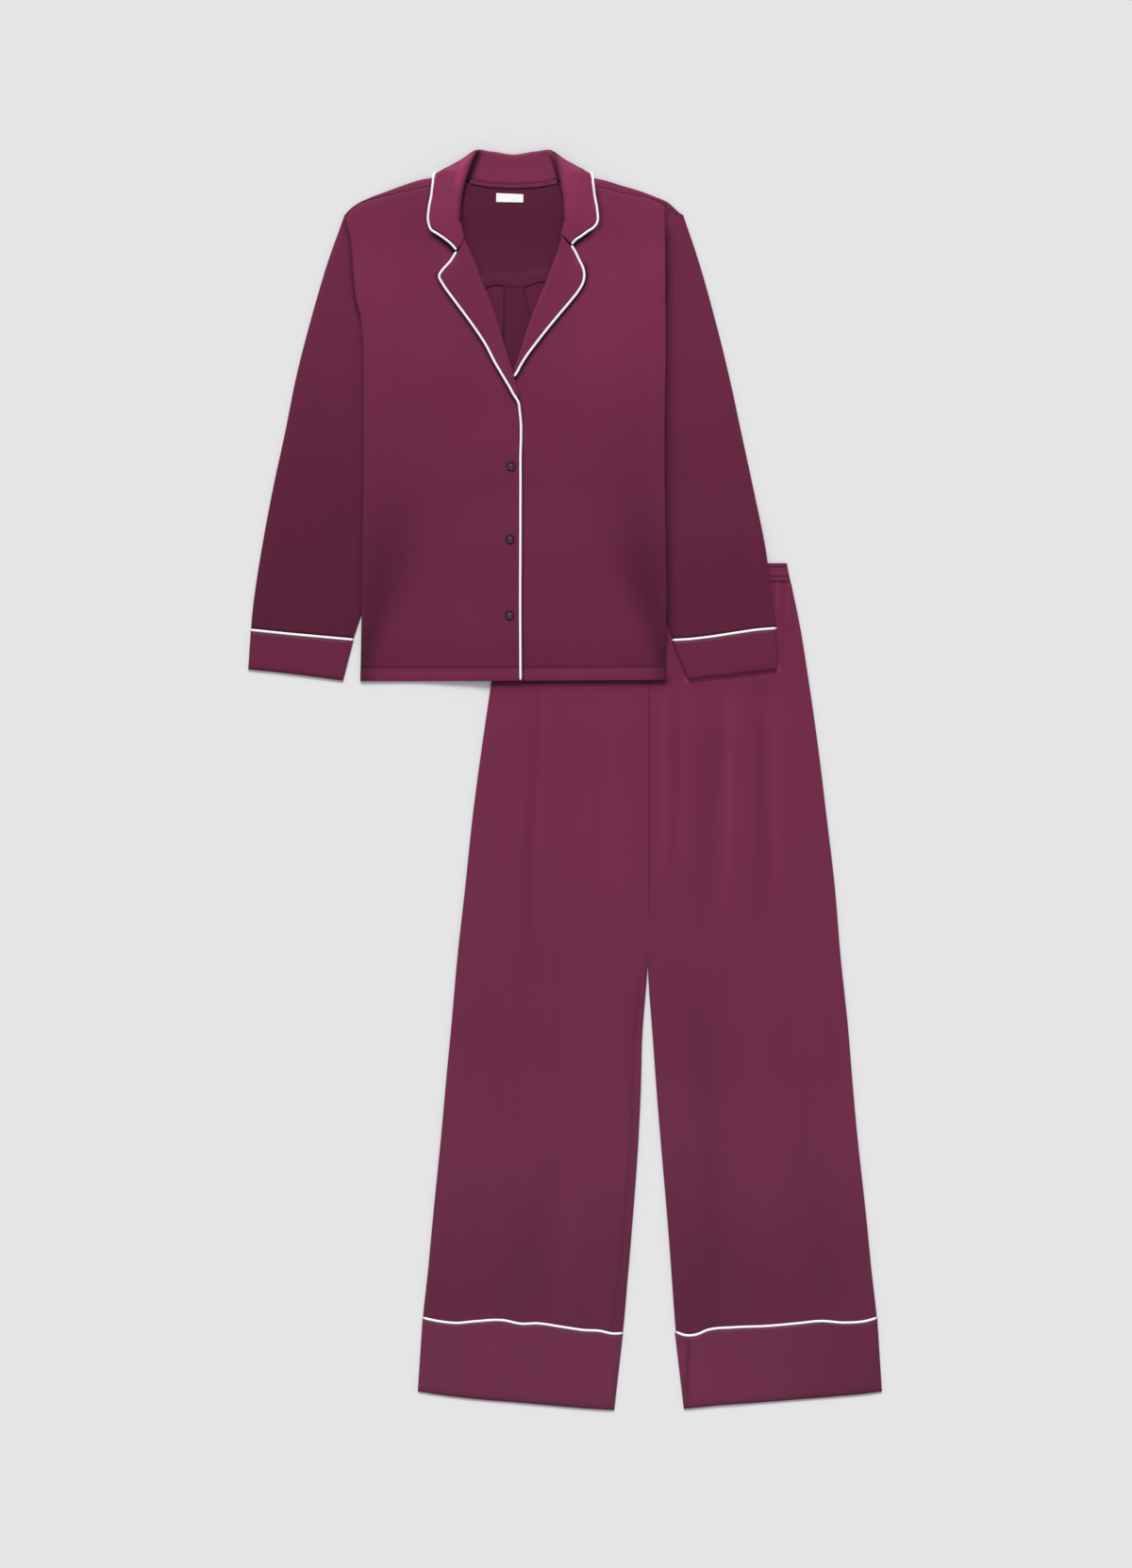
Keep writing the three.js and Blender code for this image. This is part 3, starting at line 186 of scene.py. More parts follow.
CUFF_SEAM = {
    Side.RIGHT: ((-399.6, 191), (-357.5, 186.6), (-313, 182.5), (-269.4, 178.6)),
    Side.LEFT: ((136.8, 178), (156, 179), (183, 182), (219.5, 187.5), (243.5, 191), (267.8, 193)),
}
CUFF_HEM = {
    Side.RIGHT: ((-403, 141), (-363.5, 137), (-323, 132), (-282.5, 126.5)),
    Side.LEFT: ((157, 127), (182.5, 131), (207.5, 133), (231.5, 136), (269.6, 140.5)),
}
LEG_OUTER = {
    Side.RIGHT: ((-71, 250.5), (-84, 188.5), (-93.5, 126), (-105.5, 44.5), (-117.5, -45.5), (-127, -135.5),
                 (-137, -225.5), (-145, -315.5), (-151, -378), (-156.5, -440), (-168, -555.5), (-175, -632),
                 (-179.5, -682)),
    Side.LEFT: ((287.5, 250.5), (299, 194.5), (309.5, 128.5), (321.5, 44.5), (332.5, -45.5), (343, -135.5),
                (350.5, -225.5), (360, -315.5), (365, -378), (370.5, -440), (383, -555.5), (390.5, -632),
                (395.5, -682)),
}
CENTRE_SEAM = (*((TROUSER_CENTRE_X, y) for y in (250.5, 190, 126, 40, -50)), (106.8, -145))
LEG_INNER = {
    Side.RIGHT: (*CENTRE_SEAM, (105, -234), (98, -327.5), (96.4, -390), (93.5, -452), (85, -569), (78, -649),
                 (72, -701.2)),
    Side.LEFT: (*CENTRE_SEAM, (105.2, -234), (111.5, -327.5), (116, -390), (121, -452), (131, -569),
                (137, -649), (141.5, -699.4)),
}
BAND_SEAM = {
    Side.RIGHT: ((-181, -683.6), (-159, -688), (-139, -690), (-115, -688), (-79, -686.5), (-55.5, -691),
                 (-36, -690.5), (-3.5, -695), (24, -699), (44, -700), (60, -703.4), (73.4, -703.2)),
    Side.LEFT: ((140.2, -701.4), (153.5, -705.6), (167.5, -704.5), (179.5, -699.4), (215, -695.5),
                (254.5, -694), (294.5, -690.5), (326.5, -687.5), (354, -689.5), (382, -687.5),
                (396.8, -683.6)),
}
BAND_HEM = {
    Side.RIGHT: ((-187.4, -777), (-155, -782), (-107, -787.5), (-63.5, -791), (-12, -795.5), (36, -799.5),
                 (62.5, -800.8)),
    Side.LEFT: ((151, -799.4), (195, -795), (245, -791.4), (294.5, -787.5), (345, -783.4), (386, -779.5),
                (403, -777)),
}
# Inseams of the two legs, in front of their inner folds
INSEAM = {
    Side.RIGHT: ((96, -250), (87, -327.5), (84, -452), (74, -569), (66, -649), (60, -697)),
    Side.LEFT: ((157.2, -706.8), (155.6, -750), (153.4, -797)),
}
WAIST_TOP = ((-66.5, 276), (107, 276.4), (282, 276))
WAIST_SEAM = ((-70.9, 250.8), (107, 250.8), (287, 250.8))

# Lapel rows, from the gorge down: roll x and y, middle of the piping x and y, height of the roll
LAPEL = {
    Side.RIGHT: ((-127.8, 686.4, -138.1, 671.8, 5.6), (-123.5, 678, -145, 660.5, 5.5),
                 (-118, 666, -156, 648, 5.4), (-113, 655, -160, 641, 5.3), (-107.5, 639, -155, 630, 5.2),
                 (-99.5, 619, -143, 613, 5.0), (-91, 597.5, -129.5, 595, 4.6), (-83.5, 575, -115, 575, 4.1),
                 (-77, 552, -100, 552, 3.5), (-71.5, 534, -90, 532.5, 3.0),
                 (-66.5, 516.5, -79.5, 514.5, 2.5), (-62, 500, -70, 498.5, 2.2),
                 (-59.8, 491, -65.6, 490.4, 1.9), (-58.4, 486, -62.6, 485.8, 1.6)),
    Side.LEFT: ((-4, 691.6, 8.1, 679.4, 5.6), (-6.2, 682, 12.4, 672.5, 5.5), (-10, 671, 18, 661, 5.4),
                (-14.5, 659, 22.8, 651, 5.3), (-18.5, 648, 24.5, 642, 5.2),
                (-22.5, 637.5, 22.5, 631.5, 5.1), (-26.5, 628, 17.5, 622.5, 5.0),
                (-33.5, 611.5, 7, 609, 4.8), (-42, 590, -7, 592.5, 4.4), (-48, 573.5, -21.5, 575, 4.0),
                (-54, 555, -38, 554, 3.3), (-59, 538, -50.5, 537, 2.6), (-62.5, 528, -56.6, 527, 2.3),
                (-65.2, 519, -61.8, 517.2, 2.0), (-66.6, 515, -64.8, 513, 1.8)),
}
# The front's piping below the lapel: x, y and height over the front's underside
BREAK_TO_HEM = ((-60, 481.5, 2.9), (-57.3, 466, 1.6), (-56.7, 405, 1.6), (-56.7, 316, 1.6), (-57, 222, 1.6),
                (-56.6, 143, 1.6), (-56.5, 127, 1.6))

# Collar rows, from the front end on the wearer's right to the middle of the back neck: neck seam x and y,
# roll, turn of the fall and middle of the piping, then the heights of seam, inside, roll, outside, turn, back
# and edge
COLLAR = (
    (-132, 689, -128.5, 688.8, -150, 694, -171.5, 701, 2.7, 4.6, 6.8, 8.6, 8.0, 7.2, 6.5),
    (-137.4, 701, -131, 702, -152.5, 706, -174, 711, 3.7, 5.6, 8.2, 10.2, 9.2, 8.0, 7.1),
    (-143.2, 716, -132, 719, -152.5, 722.5, -173, 726, 4.9, 6.8, 9.4, 11.6, 10.6, 9.3, 8.1),
    (-143.2, 733, -131, 738, -150.5, 740, -170, 742, 5.7, 7.2, 9.8, 12.0, 11.0, 9.7, 8.4),
    (-142.4, 751, -127, 757, -147.5, 758, -168, 757, 5.8, 7.2, 9.8, 11.8, 11.0, 9.8, 9.2),
    (-141, 763, -123.5, 769, -156, 774, -165.2, 771, 5.8, 7.2, 9.6, 11.4, 9.4, 8.0, 6.4),
    (-137.6, 771.5, -120, 780, -148.4, 779.2, -157, 766.6, 5.2, 6.8, 9.2, 10.8, 7.6, 2.9, 1.7),
    (-129.5, 766.4, -115, 792, -132, 788.4, -145, 756, 4.4, 6.4, 8.4, 9.4, 6.2, 1.9, 1.7),
    (-120, 760.6, -110.5, 799, -113.5, 800.4, -129, 751, 4.1, 6.6, 7.4, 7.0, 4.2, 1.4, 1.7),
    (-101, 757, -95, 798.6, -95, 798.8, -104, 749, 4.1, 6.8, 6.6, 5.4, 3.6, 1.3, 1.7),
    (-65.4, 755, -65.4, 794.6, -65.4, 794.8, -65.4, 747.5, 4.1, 6.8, 6.4, 5.0, 3.4, 1.3, 1.7),
)
# The collar's front ends: cloth x and y, then piping x and y, from the gorge to the outer corner
COLLAR_END = {
    Side.RIGHT: ((-130.4, 683.6, -135, 679), (-136.2, 676.4, -137.9, 673.8), (-144, 684, -144.8, 681.4),
                 (-152, 690.4, -152.8, 688), (-161, 696.6, -163, 694.8), (-168.4, 701.9, -170.6, 700)),
    Side.LEFT: ((-0.6, 689.8, 3, 685), (6.6, 683, 8.2, 681), (13, 689.6, 13.8, 687),
                (19, 693.2, 19.8, 690.8), (27.4, 699.2, 29, 697.5), (34.4, 704.6, 36.8, 702.8)),
}
# Outlines that lift what lies on them
TROUSERS_LIFT = ((-66.5, 276), (282, 276), (299, 194.5), (321.5, 44.5), (-105.5, 44.5), (-84, 188.5))
TUCK_LIFT = (
    ((-262, 590), (-239, 564), (-209, 539), (-179, 518.5), (-193, 446.5), (-213.5, 362.5), (-236.5, 278.5),
     (-257, 215), (-262, 200), (-310, 200), (-310, 590)),
    ((129, 606), (109, 570), (79, 540), (49, 518.5), (63.5, 446.5), (84, 362.5), (107, 278.5), (128.5, 215),
     (135, 200), (180, 200), (180, 606)),
)


# Curves and outlines
def smooth(t: np.ndarray) -> np.ndarray:
    """Ease from 0 to 1 with flat ends: 3t^2 - 2t^3.

    Args:
        t: Fractions, held between 0 and 1.

    Returns:
        The eased fractions.
    """
    c = np.clip(t, 0.0, 1.0)
    return c * c * (3.0 - 2.0 * c)


def dome(t: np.ndarray) -> np.ndarray:
    """Quarter of an ellipse that rises from 0 with an upright start: sqrt(1 - (1 - t)^2).

    Args:
        t: Fractions, held between 0 and 1.

    Returns:
        The height of the ellipse.
    """
    c = np.clip(t, 0.0, 1.0)
    return np.sqrt(np.maximum(0.0, 1.0 - (1.0 - c) ** 2))


def hermite(points: Points, knots: np.ndarray, at: np.ndarray) -> np.ndarray:
    """A smooth curve through points at uneven knots.

    Each tangent is the mean of the slopes on both sides, weighted by the other side's knot spacing.

    Args:
        points: Points of the curve, one for each knot.
        knots: Rising parameter values.
        at: Parameter values to evaluate.

    Returns:
        The curve's points.
    """
    p = np.asarray(points, float)
    step = np.diff(knots)[:, None]
    slope = np.diff(p, axis=0) / step
    tangent = np.vstack([slope[:1], (slope[:-1] * step[1:] + slope[1:] * step[:-1]) / (step[1:] + step[:-1]),
                         slope[-1:]])
    i = np.clip(np.searchsorted(knots, at, side="right") - 1, 0, len(p) - 2)
    h = step[i]
    t = ((at - knots[i]) / h[:, 0])[:, None]
    return ((2 * t**3 - 3 * t**2 + 1) * p[i] + (t**3 - 2 * t**2 + t) * h * tangent[i]
            + (3 * t**2 - 2 * t**3) * p[i + 1] + (t**3 - t**2) * h * tangent[i + 1])


def lengths(points: np.ndarray) -> np.ndarray:
    """Length along a polyline up to each of its points.

    Args:
        points: The polyline.

    Returns:
        Rising lengths that start at 0.
    """
    return np.concatenate([[0.0], np.cumsum(np.linalg.norm(np.diff(points, axis=0), axis=1))])


def sampled(points: Points, fractions: np.ndarray) -> np.ndarray:
    """Points along a smooth curve at fractions of its length.

    Args:
        points: Points of the curve.
        fractions: Fractions of its length.

    Returns:
        The sampled points.
    """
    p = np.asarray(points, float)
    knots = lengths(p)
    dense = hermite(p, knots, np.linspace(0, knots[-1], 60 * len(p)))
    run = lengths(dense)
    return np.stack([np.interp(fractions * run[-1], run, dense[:, k]) for k in range(p.shape[1])], axis=1)


def shifted(points: np.ndarray, amount: float) -> np.ndarray:
    """Points moved sideways in plan, to the left of their direction of travel.

    Args:
        points: Points of a line.
        amount: How far they move.

    Returns:
        The moved points.
    """
    ahead = np.vstack([points[1:], points[-1:]])
    behind = np.vstack([points[:1], points[:-1]])
    along = (ahead - behind)[:, :2]
    along /= np.linalg.norm(along, axis=1, keepdims=True)
    moved = np.array(points, float)
    moved[:, 0] -= along[:, 1] * amount
    moved[:, 1] += along[:, 0] * amount
    return moved


def to_segment(xy: np.ndarray, a: Sequence[float], b: Sequence[float]) -> tuple[np.ndarray, np.ndarray]:
    """Distance from points to a segment, and how far along it the nearest place lies.

    Args:
        xy: Points, with x and y last.
        a: Start of the segment.
        b: End of the segment.

    Returns:
        The distances, and the fractions along the segment.
    """
    start, run = np.asarray(a, float), np.asarray(b, float) - np.asarray(a, float)
    along = np.clip(((xy - start) @ run) / (run @ run), 0.0, 1.0)
    return np.linalg.norm(xy - start - along[..., None] * run, axis=-1), along


def to_line(xy: np.ndarray, line: Points) -> np.ndarray:
    """Distance from points to an open polyline.

    Args:
        xy: Points, with x and y last.
        line: The polyline.

    Returns:
        The distances.
    """
    points = [tuple(point[:2]) for point in line]
    return np.min([to_segment(xy, a, b)[0] for a, b in zip(points, points[1:])], axis=0)


def to_outline(xy: np.ndarray, outline: Points) -> np.ndarray:
    """Distance from points to a closed outline, negative inside it.

    Args:
        xy: Points, with x and y last.
        outline: Corners of the outline.

    Returns:
        The signed distances.
    """
    corners = [tuple(corner[:2]) for corner in outline]
    inside = np.zeros(xy.shape[:-1], bool)
    x, y = xy[..., 0], xy[..., 1]
    for a, b in zip(corners, corners[1:] + corners[:1]):
        if a[1] != b[1]:
            crossing = ((a[1] > y) != (b[1] > y)) & (x < a[0] + (y - a[1]) / (b[1] - a[1]) * (b[0] - a[0]))
            inside ^= crossing
    gap = to_line(xy, corners + corners[:1])
    return np.where(inside, -gap, gap)


# Grids and meshes
def spread(count: int) -> np.ndarray:
    """Even fractions from 0 to 1.

    Args:
        count: Number of steps.

    Returns:
        The fractions.
    """
    return np.linspace(0.0, 1.0, count + 1)


@dataclass(frozen=True)
class PanelPlan:
    """The plan of a cloth panel between two side lines, with its two ends bent to given lines."""

    first: Points
    second: Points
    start: Points | None = None
    end: Points | None = None
    start_reach: float = 60.0
    end_reach: float = 60.0

    def grid(self, fractions: np.ndarray, cell: float) -> np.ndarray:
        """Plan points in rows from start to end.

        A point is mix(first(s), second(s), u) + e0 (1 - smooth(s / r0)) + e1 (1 - smooth((S - s) / r1)). Here
        e0 and e1 are how far the end lines lie from the straight line between the sides, and r0 and r1 are
        how far they reach.

        Args:
            fractions: Places of the columns, from 0 at the first side to 1 at the second.
            cell: Size of a cell along the panel.

        Returns:
            An array of rows, columns and x and y.
        """
        first, second = np.asarray(self.first, float), np.asarray(self.second, float)
        knots = lengths((first + second) / 2)
        s = np.linspace(0.0, knots[-1], max(3, round(knots[-1] / cell) + 1))
        a, b = hermite(first, knots, s), hermite(second, knots, s)
        u = fractions[None, :, None]
        plan = a[:, None, :] * (1 - u) + b[:, None, :] * u
        ends = ((self.start, first[0], second[0], s, self.start_reach),
                (self.end, first[-1], second[-1], knots[-1] - s, self.end_reach))
        for line, low, high, away, reach in ends:
            if line is not None:
                offset = sampled(line, fractions) - (low * (1 - u[0]) + high * u[0])
                plan += offset[None] * (1 - smooth(away / reach))[:, None, None]
        return plan


# Steps in from the edge of a laid panel
RIM = (0.12, 0.4, 0.9)
# Steps in from the side fold of a tube, how much of the cloth's thickness its wall has, and its least half
# height
TUBE_RIM = (0.1, 0.35, 0.8, 1.6)
TUBE_WALL = 0.8
TUBE_LEAST = 0.12
# Steps in from the edge of a folded sheet as shares of a cell, and the share of its thickness at each
# of them
FOLDED_RIM = (0.06, 0.25)
FOLDED_SWELL = (0.0, 0.5, 0.9)
# Share of a cord's thickness at its tips
CORD_TIP = 0.35


def rows_near(a: np.ndarray, b: np.ndarray, steps: Sequence[float]) -> list[np.ndarray]:
    """Rows at some distances from one row towards the next: a + s (b - a) / |b - a|.

    Args:
        a: The row to start from.
        b: The next row.
        steps: Distances.

    Returns:
        The rows.
    """
    run = (b - a) / np.maximum(np.linalg.norm(b - a, axis=-1, keepdims=True), 1e-6)
    return [a + run * step for step in steps]


def panel_rim(grid: np.ndarray) -> tuple[np.ndarray, np.ndarray]:
    """Adds rows at the rim steps from the first and the last row.

    Args:
        grid: Rows, columns and x and y.

    Returns:
        The finer grid, and each row's depth from the edge, at most the last rim step.
    """
    near, far = rows_near(grid[0], grid[1], RIM), rows_near(grid[-1], grid[-2], RIM)
    deep = [RIM[-1]] * (len(grid) - 2)
    depth = np.array([0.0, *RIM, *deep, *reversed(RIM), 0.0])
    return np.stack([grid[0], *near, *grid[1:-1], *reversed(far), grid[-1]]), depth


def folded_rim(grid: np.ndarray) -> tuple[np.ndarray, np.ndarray]:
    """Adds two rows near the first and the last row.

    Args:
        grid: Rows, columns and values.

    Returns:
        The finer grid, and the share of the thickness at each row.
    """
    near = [grid[0] + (grid[1] - grid[0]) * step for step in FOLDED_RIM]
    far = [grid[-1] + (grid[-2] - grid[-1]) * step for step in reversed(FOLDED_RIM)]
    deep = [1.0] * (len(grid) - 2)
    swell = np.array([*FOLDED_SWELL, *deep, *reversed(FOLDED_SWELL)])
    return np.stack([grid[0], *near, *grid[1:-1], *far, grid[-1]]), swell


def both_ways(grid: np.ndarray, rim: Rim) -> tuple[np.ndarray, np.ndarray]:
    """Adds a rim to the rows and then to the columns of a grid.

    Args:
        grid: Rows, columns and values.
        rim: Adds rows near the first and last row, and gives a measure of each row.

    Returns:
        The finer grid, and the smaller measure of each point's row and column.
    """
    finer, by_row = rim(grid)
    turned, by_column = rim(finer.transpose(1, 0, 2))
    return turned.transpose(1, 0, 2), np.minimum(by_row[:, None], by_column[None, :])


def make_object(name: str, vertices: np.ndarray, quads: np.ndarray, tone: Tone) -> bpy.types.Object:
    """A mesh object of quads, turned so that its faces point out.

    Six times the volume is the sum over triangles of a . (b x c), and a negative sum turns all faces over.

    Args:
        name: Name of the object.
        vertices: Points in millimetres.
        quads: Four vertex numbers for each face.
        tone: Painted lightness of the cloth, 1 being even, or one for each vertex, or a function of plan
            points.

    Returns:
        The object, linked to the scene.
    """
    a, b, c, d = (vertices[quads[:, k]] for k in range(4))
    volume = np.einsum("ij,ij->", a, np.cross(b, c)) + np.einsum("ij,ij->", a, np.cross(c, d))
    if volume < 0:
        quads = quads[:, ::-1]
    mesh = bpy.data.meshes.new(name)
    mesh.vertices.add(len(vertices))
    mesh.vertices.foreach_set("co", (vertices * MM).astype(np.float32).ravel())
    mesh.loops.add(quads.size)
    mesh.loops.foreach_set("vertex_index", quads.astype(np.int32).ravel())
    mesh.polygons.add(len(quads))
    mesh.polygons.foreach_set("loop_start", np.arange(0, quads.size, 4, dtype=np.int32))
    mesh.polygons.foreach_set("use_smooth", np.ones(len(quads), bool))
    mesh.update(calc_edges=True)
    # The tone attribute holds painted light and shade: lightness that stands in for how light falls on the
    # cloth.
    shade = tone(vertices[:, :2]) if callable(tone) else tone
    attribute = mesh.attributes.new("tone", "FLOAT", "POINT")
    attribute.data.foreach_set("value", np.broadcast_to(shade, len(vertices)).astype(np.float32))
    obj = bpy.data.objects.new(name, mesh)
    bpy.context.scene.collection.objects.link(obj)
    return obj


def quad_faces(ids: np.ndarray) -> np.ndarray:
    """Quads between neighbouring entries of a grid of vertex numbers.

    Args:
        ids: Vertex numbers in rows and columns.

    Returns:
        Four vertex numbers for each face.
    """
    return np.stack([ids[:-1, :-1], ids[:-1, 1:], ids[1:, 1:], ids[1:, :-1]], axis=-1).reshape(-1, 4)


def wrapped(ids: np.ndarray) -> np.ndarray:
    """Vertex numbers of rings, with each ring's first number again at its end."""
    return np.concatenate([ids, ids[:, :1]], axis=1)


def end_fans(ids: np.ndarray, hubs: Sequence[int]) -> list[np.ndarray]:
    """Quads that close both ends of a row of rings, each over three points of the rim and the middle.

    Args:
        ids: Vertex numbers, a row for each ring.
        hubs: Vertex numbers of the middles of the first and the last ring.

    Returns:
        The quads of both ends.
    """
    fans = []
    for end, hub, turned in ((ids[0], hubs[0], True), (ids[-1], hubs[1], False)):
        fan = np.stack([end[0::2], end[1::2], np.roll(end[0::2], -1), np.full(len(end) // 2, hub)], axis=1)
        fans.append(fan[:, ::-1] if turned else fan)
    return fans


def shell_object(name: str, upper: np.ndarray, lower: np.ndarray, tone: Tone) -> bpy.types.Object:
    """A closed sheet between two grids that share their border points.

    Args:
        name: Name of the object.
        upper: Rows, columns and x, y and z of the upper side.
        lower: The same for the lower side. Its border is taken from the upper side.
        tone: Lightness, or one for each vertex, or a function of plan points.

    Returns:
        The object.
    """
    rows, columns = upper.shape[:2]
    top = np.arange(rows * columns).reshape(rows, columns)
    bottom = top.copy()
    bottom[1:-1, 1:-1] = rows * columns + np.arange((rows - 2) * (columns - 2)).reshape(rows - 2, columns - 2)
    vertices = np.vstack([upper.reshape(-1, 3), lower[1:-1, 1:-1].reshape(-1, 3)])
    return make_object(name, vertices, np.vstack([quad_faces(top), quad_faces(bottom)[:, ::-1]]), tone)


def panel_object(name: str, plan: np.ndarray, under: Height, thickness: Height | float,
                 tone: Tone) -> bpy.types.Object:
    """A laid sheet of cloth with rounded edges.

    Both sides are z = under + t / 2 -+ (t / 2) dome(depth / rim), with the thickness t.

    Args:
        name: Name of the object.
        plan: Rows, columns and x and y.
        under: Height of the underside at plan points.
        thickness: Thickness, or a function of plan points.
        tone: Lightness, or a function of plan points.

    Returns:
        The object.
    """
    finer, depth = both_ways(plan, panel_rim)
    half = (thickness(finer) if callable(thickness) else np.full(finer.shape[:2], thickness)) / 2
    middle = under(finer) + half
    swell = half * dome(depth / RIM[-1])
    upper = np.dstack([finer, middle + swell])
    lower = np.dstack([finer, middle - swell])
    return shell_object(name, upper, lower, tone)


def tube_ring(plan: np.ndarray, low: Height, high: Height, inset: float) -> np.ndarray:
    """Rows of points round a flattened tube, moved in from its outside, the lower side first.

    At a depth d from a side fold z = m -+ h dome(d / rim), with m the middle and h half the height.

    Args:
        plan: Rows, columns and x and y, a column at each side fold.
        low: Height of the underside.
        high: Height of the upper side.
        inset: How far the points lie inside the outside of the tube.

    Returns:
        The points.
    """
    steps = [inset + step for step in (0.0, *TUBE_RIM)]
    first, last = rows_near(plan[:, 0], plan[:, 1], steps), rows_near(plan[:, -1], plan[:, -2], steps)
    columns = np.concatenate([np.stack(first, 1), plan[:, 2:-2], np.stack(last[::-1], 1)], axis=1)
    deep = [TUBE_RIM[-1]] * (plan.shape[1] - 4)
    depth = np.array([0.0, *TUBE_RIM, *deep, *reversed(TUBE_RIM), 0.0])
    bottom, top = low(columns), high(columns)
    middle, half = (bottom + top) / 2, np.maximum((top - bottom) / 2 - inset, TUBE_LEAST)
    swell = half * dome(depth / TUBE_RIM[-1])[None, :]
    lower, upper = np.dstack([columns, middle - swell]), np.dstack([columns, middle + swell])
    return np.concatenate([lower, upper[:, -2:0:-1]], axis=1)


def tube_object(name: str, plan: np.ndarray, low: Height, high: Height, tone: Tone) -> bpy.types.Object:
    """A flattened tube of cloth with open ends and rounded side folds.

    Args:
        name: Name of the object.
        plan: Rows, columns and x and y, a column at each side fold.
        low: Height of the underside.
        high: Height of the upper side.
        tone: Lightness, or a function of plan points.

    Returns:
        The object.
    """
    outer, inner = tube_ring(plan, low, high, 0.0), tube_ring(plan, low, high, CLOTH * TUBE_WALL)
    rows, around = outer.shape[:2]
    ids = np.arange(rows * around).reshape(rows, around)
    outside, inside = wrapped(ids), wrapped(ids + rows * around)
    ends = [np.stack([outside[-1], inside[-1]]), np.stack([inside[0], outside[0]])]
    quads = np.vstack([quad_faces(outside), quad_faces(inside)[:, ::-1], *(quad_faces(end) for end in ends)])
    return make_object(name, np.vstack([outer.reshape(-1, 3), inner.reshape(-1, 3)]), quads, tone)


def sheet_normals(middle: np.ndarray) -> np.ndarray:
    """Unit normals of a grid of points in space: the cross product of its row and column directions.

    Args:
        middle: Rows, columns and x, y and z.

    Returns:
        The normals.
    """
    normals = np.cross(np.gradient(middle, axis=0), np.gradient(middle, axis=1))
    return normals / np.maximum(np.linalg.norm(normals, axis=-1, keepdims=True), 1e-9)


def folded_object(name: str, middle: np.ndarray, tone: np.ndarray | float) -> bpy.types.Object:
    """A closed sheet about its middle surface, with rounded edges.

    The sides are p -+ n (t / 2) e, with the unit normal n and e falling to 0 at the border.

    Args:
        name: Name of the object.
        middle: Rows, columns and x, y and z of the middle surface.
        tone: Lightness, or lightness at each row and column.

    Returns:
        The object.
    """
    even = np.isscalar(tone)
    grid, swell = both_ways(middle if even else np.dstack([middle, tone]), folded_rim)
    points = grid[..., :3]
    offset = sheet_normals(points) * (CLOTH / 2 * swell)[..., None]
    shade = tone if even else np.concatenate([grid[..., 3].ravel(), grid[1:-1, 1:-1, 3].ravel()])
    return shell_object(name, points + offset, points - offset, shade)


def cord_object(name: str, centres: np.ndarray, half_width: float, half_height: np.ndarray | float,
                closed: bool = False, sides: int = 12) -> bpy.types.Object:
    """Piping swept along points: c + w cos(a) side + h sin(a) up, with side level and across the line.

    Args:
        name: Name of the object.
        centres: Points of the cord's middle.
        half_width: Half its width.
        half_height: Half its height, or one for each point.
        closed: True for a cord that meets its own start.
        sides: Number of sides.

    Returns:
        The object.
    """
    if closed:
        run = np.roll(centres, -1, axis=0) - np.roll(centres, 1, axis=0)
    else:
        run = np.gradient(centres, axis=0)
    run /= np.linalg.norm(run, axis=1, keepdims=True)
    side = np.cross([0.0, 0.0, 1.0], run)
    steep = np.linalg.norm(side, axis=1) < 0.2
    side[steep] = np.cross([0.0, -1.0, 0.0], run[steep])
    side /= np.linalg.norm(side, axis=1, keepdims=True)
    up = np.cross(run, side)
    angle = np.linspace(0, 2 * np.pi, sides, endpoint=False)
    count = len(centres)
    width = np.full((count, 1, 1), half_width)
    height = np.array(np.broadcast_to(half_height, count)[:, None, None], float)
    if not closed:
        width[[0, -1]] *= CORD_TIP
        height[[0, -1]] *= CORD_TIP
    rings = (centres[:, None] + side[:, None] * np.cos(angle)[None, :, None] * width
             + up[:, None] * np.sin(angle)[None, :, None] * height).reshape(-1, 3)
    ids = np.arange(count * sides).reshape(count, sides)
    if closed:
        return make_object(name, rings, quad_faces(wrapped(np.vstack([ids, ids[:1]]))), 1.0)
    fans = end_fans(ids, (count * sides, count * sides + 1))
    return make_object(name, np.vstack([rings, centres[:1], centres[-1:]]),
                       np.vstack([quad_faces(wrapped(ids)), *fans]), 1.0)


# Heights of the layers
@dataclass(frozen=True)
class Fold:
    """A soft ridge, or a trough where its height is below zero, along a straight line."""

    start: tuple[float, float]
    end: tuple[float, float]
    width: float
    height: float

    def at(self, xy: np.ndarray) -> np.ndarray:
        """Height h exp(-(d / w)^2) sin(pi (0.12 + 0.76 a)), with a the place along the line.

        Args:
            xy: Plan points.

        Returns:
            The heights.
        """
        gap, along = to_segment(xy, self.start, self.end)
        return self.height * np.exp(-((gap / self.width) ** 2)) * np.sin(np.pi * (0.12 + 0.76 * along))


# Turn of each wave in a ripple, and how many times the ripple's length it is
WAVES = ((0.15, 1.0), (0.9, 1.7), (1.45, 0.8), (2.2, 1.35), (2.8, 2.3))


@dataclass(frozen=True)
class Ripple:
    """Faint waves of cloth that isn't quite flat: the sum of a cos(k . p + phase) over a few directions."""

    height: float = 0.16
    length: float = 120.0
    phase: float = 0.0

    def at(self, xy: np.ndarray) -> np.ndarray:
        """Heights at plan points.

        Args:
            xy: Plan points.

        Returns:
            The heights.
        """
        total = np.zeros(xy.shape[:-1])
        for turn, stretch in WAVES:
            along = xy[..., 0] * math.cos(turn) + xy[..., 1] * math.sin(turn)
            total += np.cos(2 * np.pi / (self.length * stretch) * along + self.phase + 5 * turn)
        return self.height * total / 2


def bell(gap: np.ndarray, height: float, width: float | np.ndarray) -> np.ndarray:
    """A soft bump that fades with the distance from a line: h exp(-(gap / width)^2).

    Args:
        gap: Distance from the line.
        height: Height at the line.
        width: How far it reaches.

    Returns:
        The heights.
    """
    return height * np.exp(-((gap / width) ** 2))


def on_floor(xy: np.ndarray) -> np.ndarray:
    """Height of the floor at plan points."""
    return np.zeros(xy.shape[:-1])


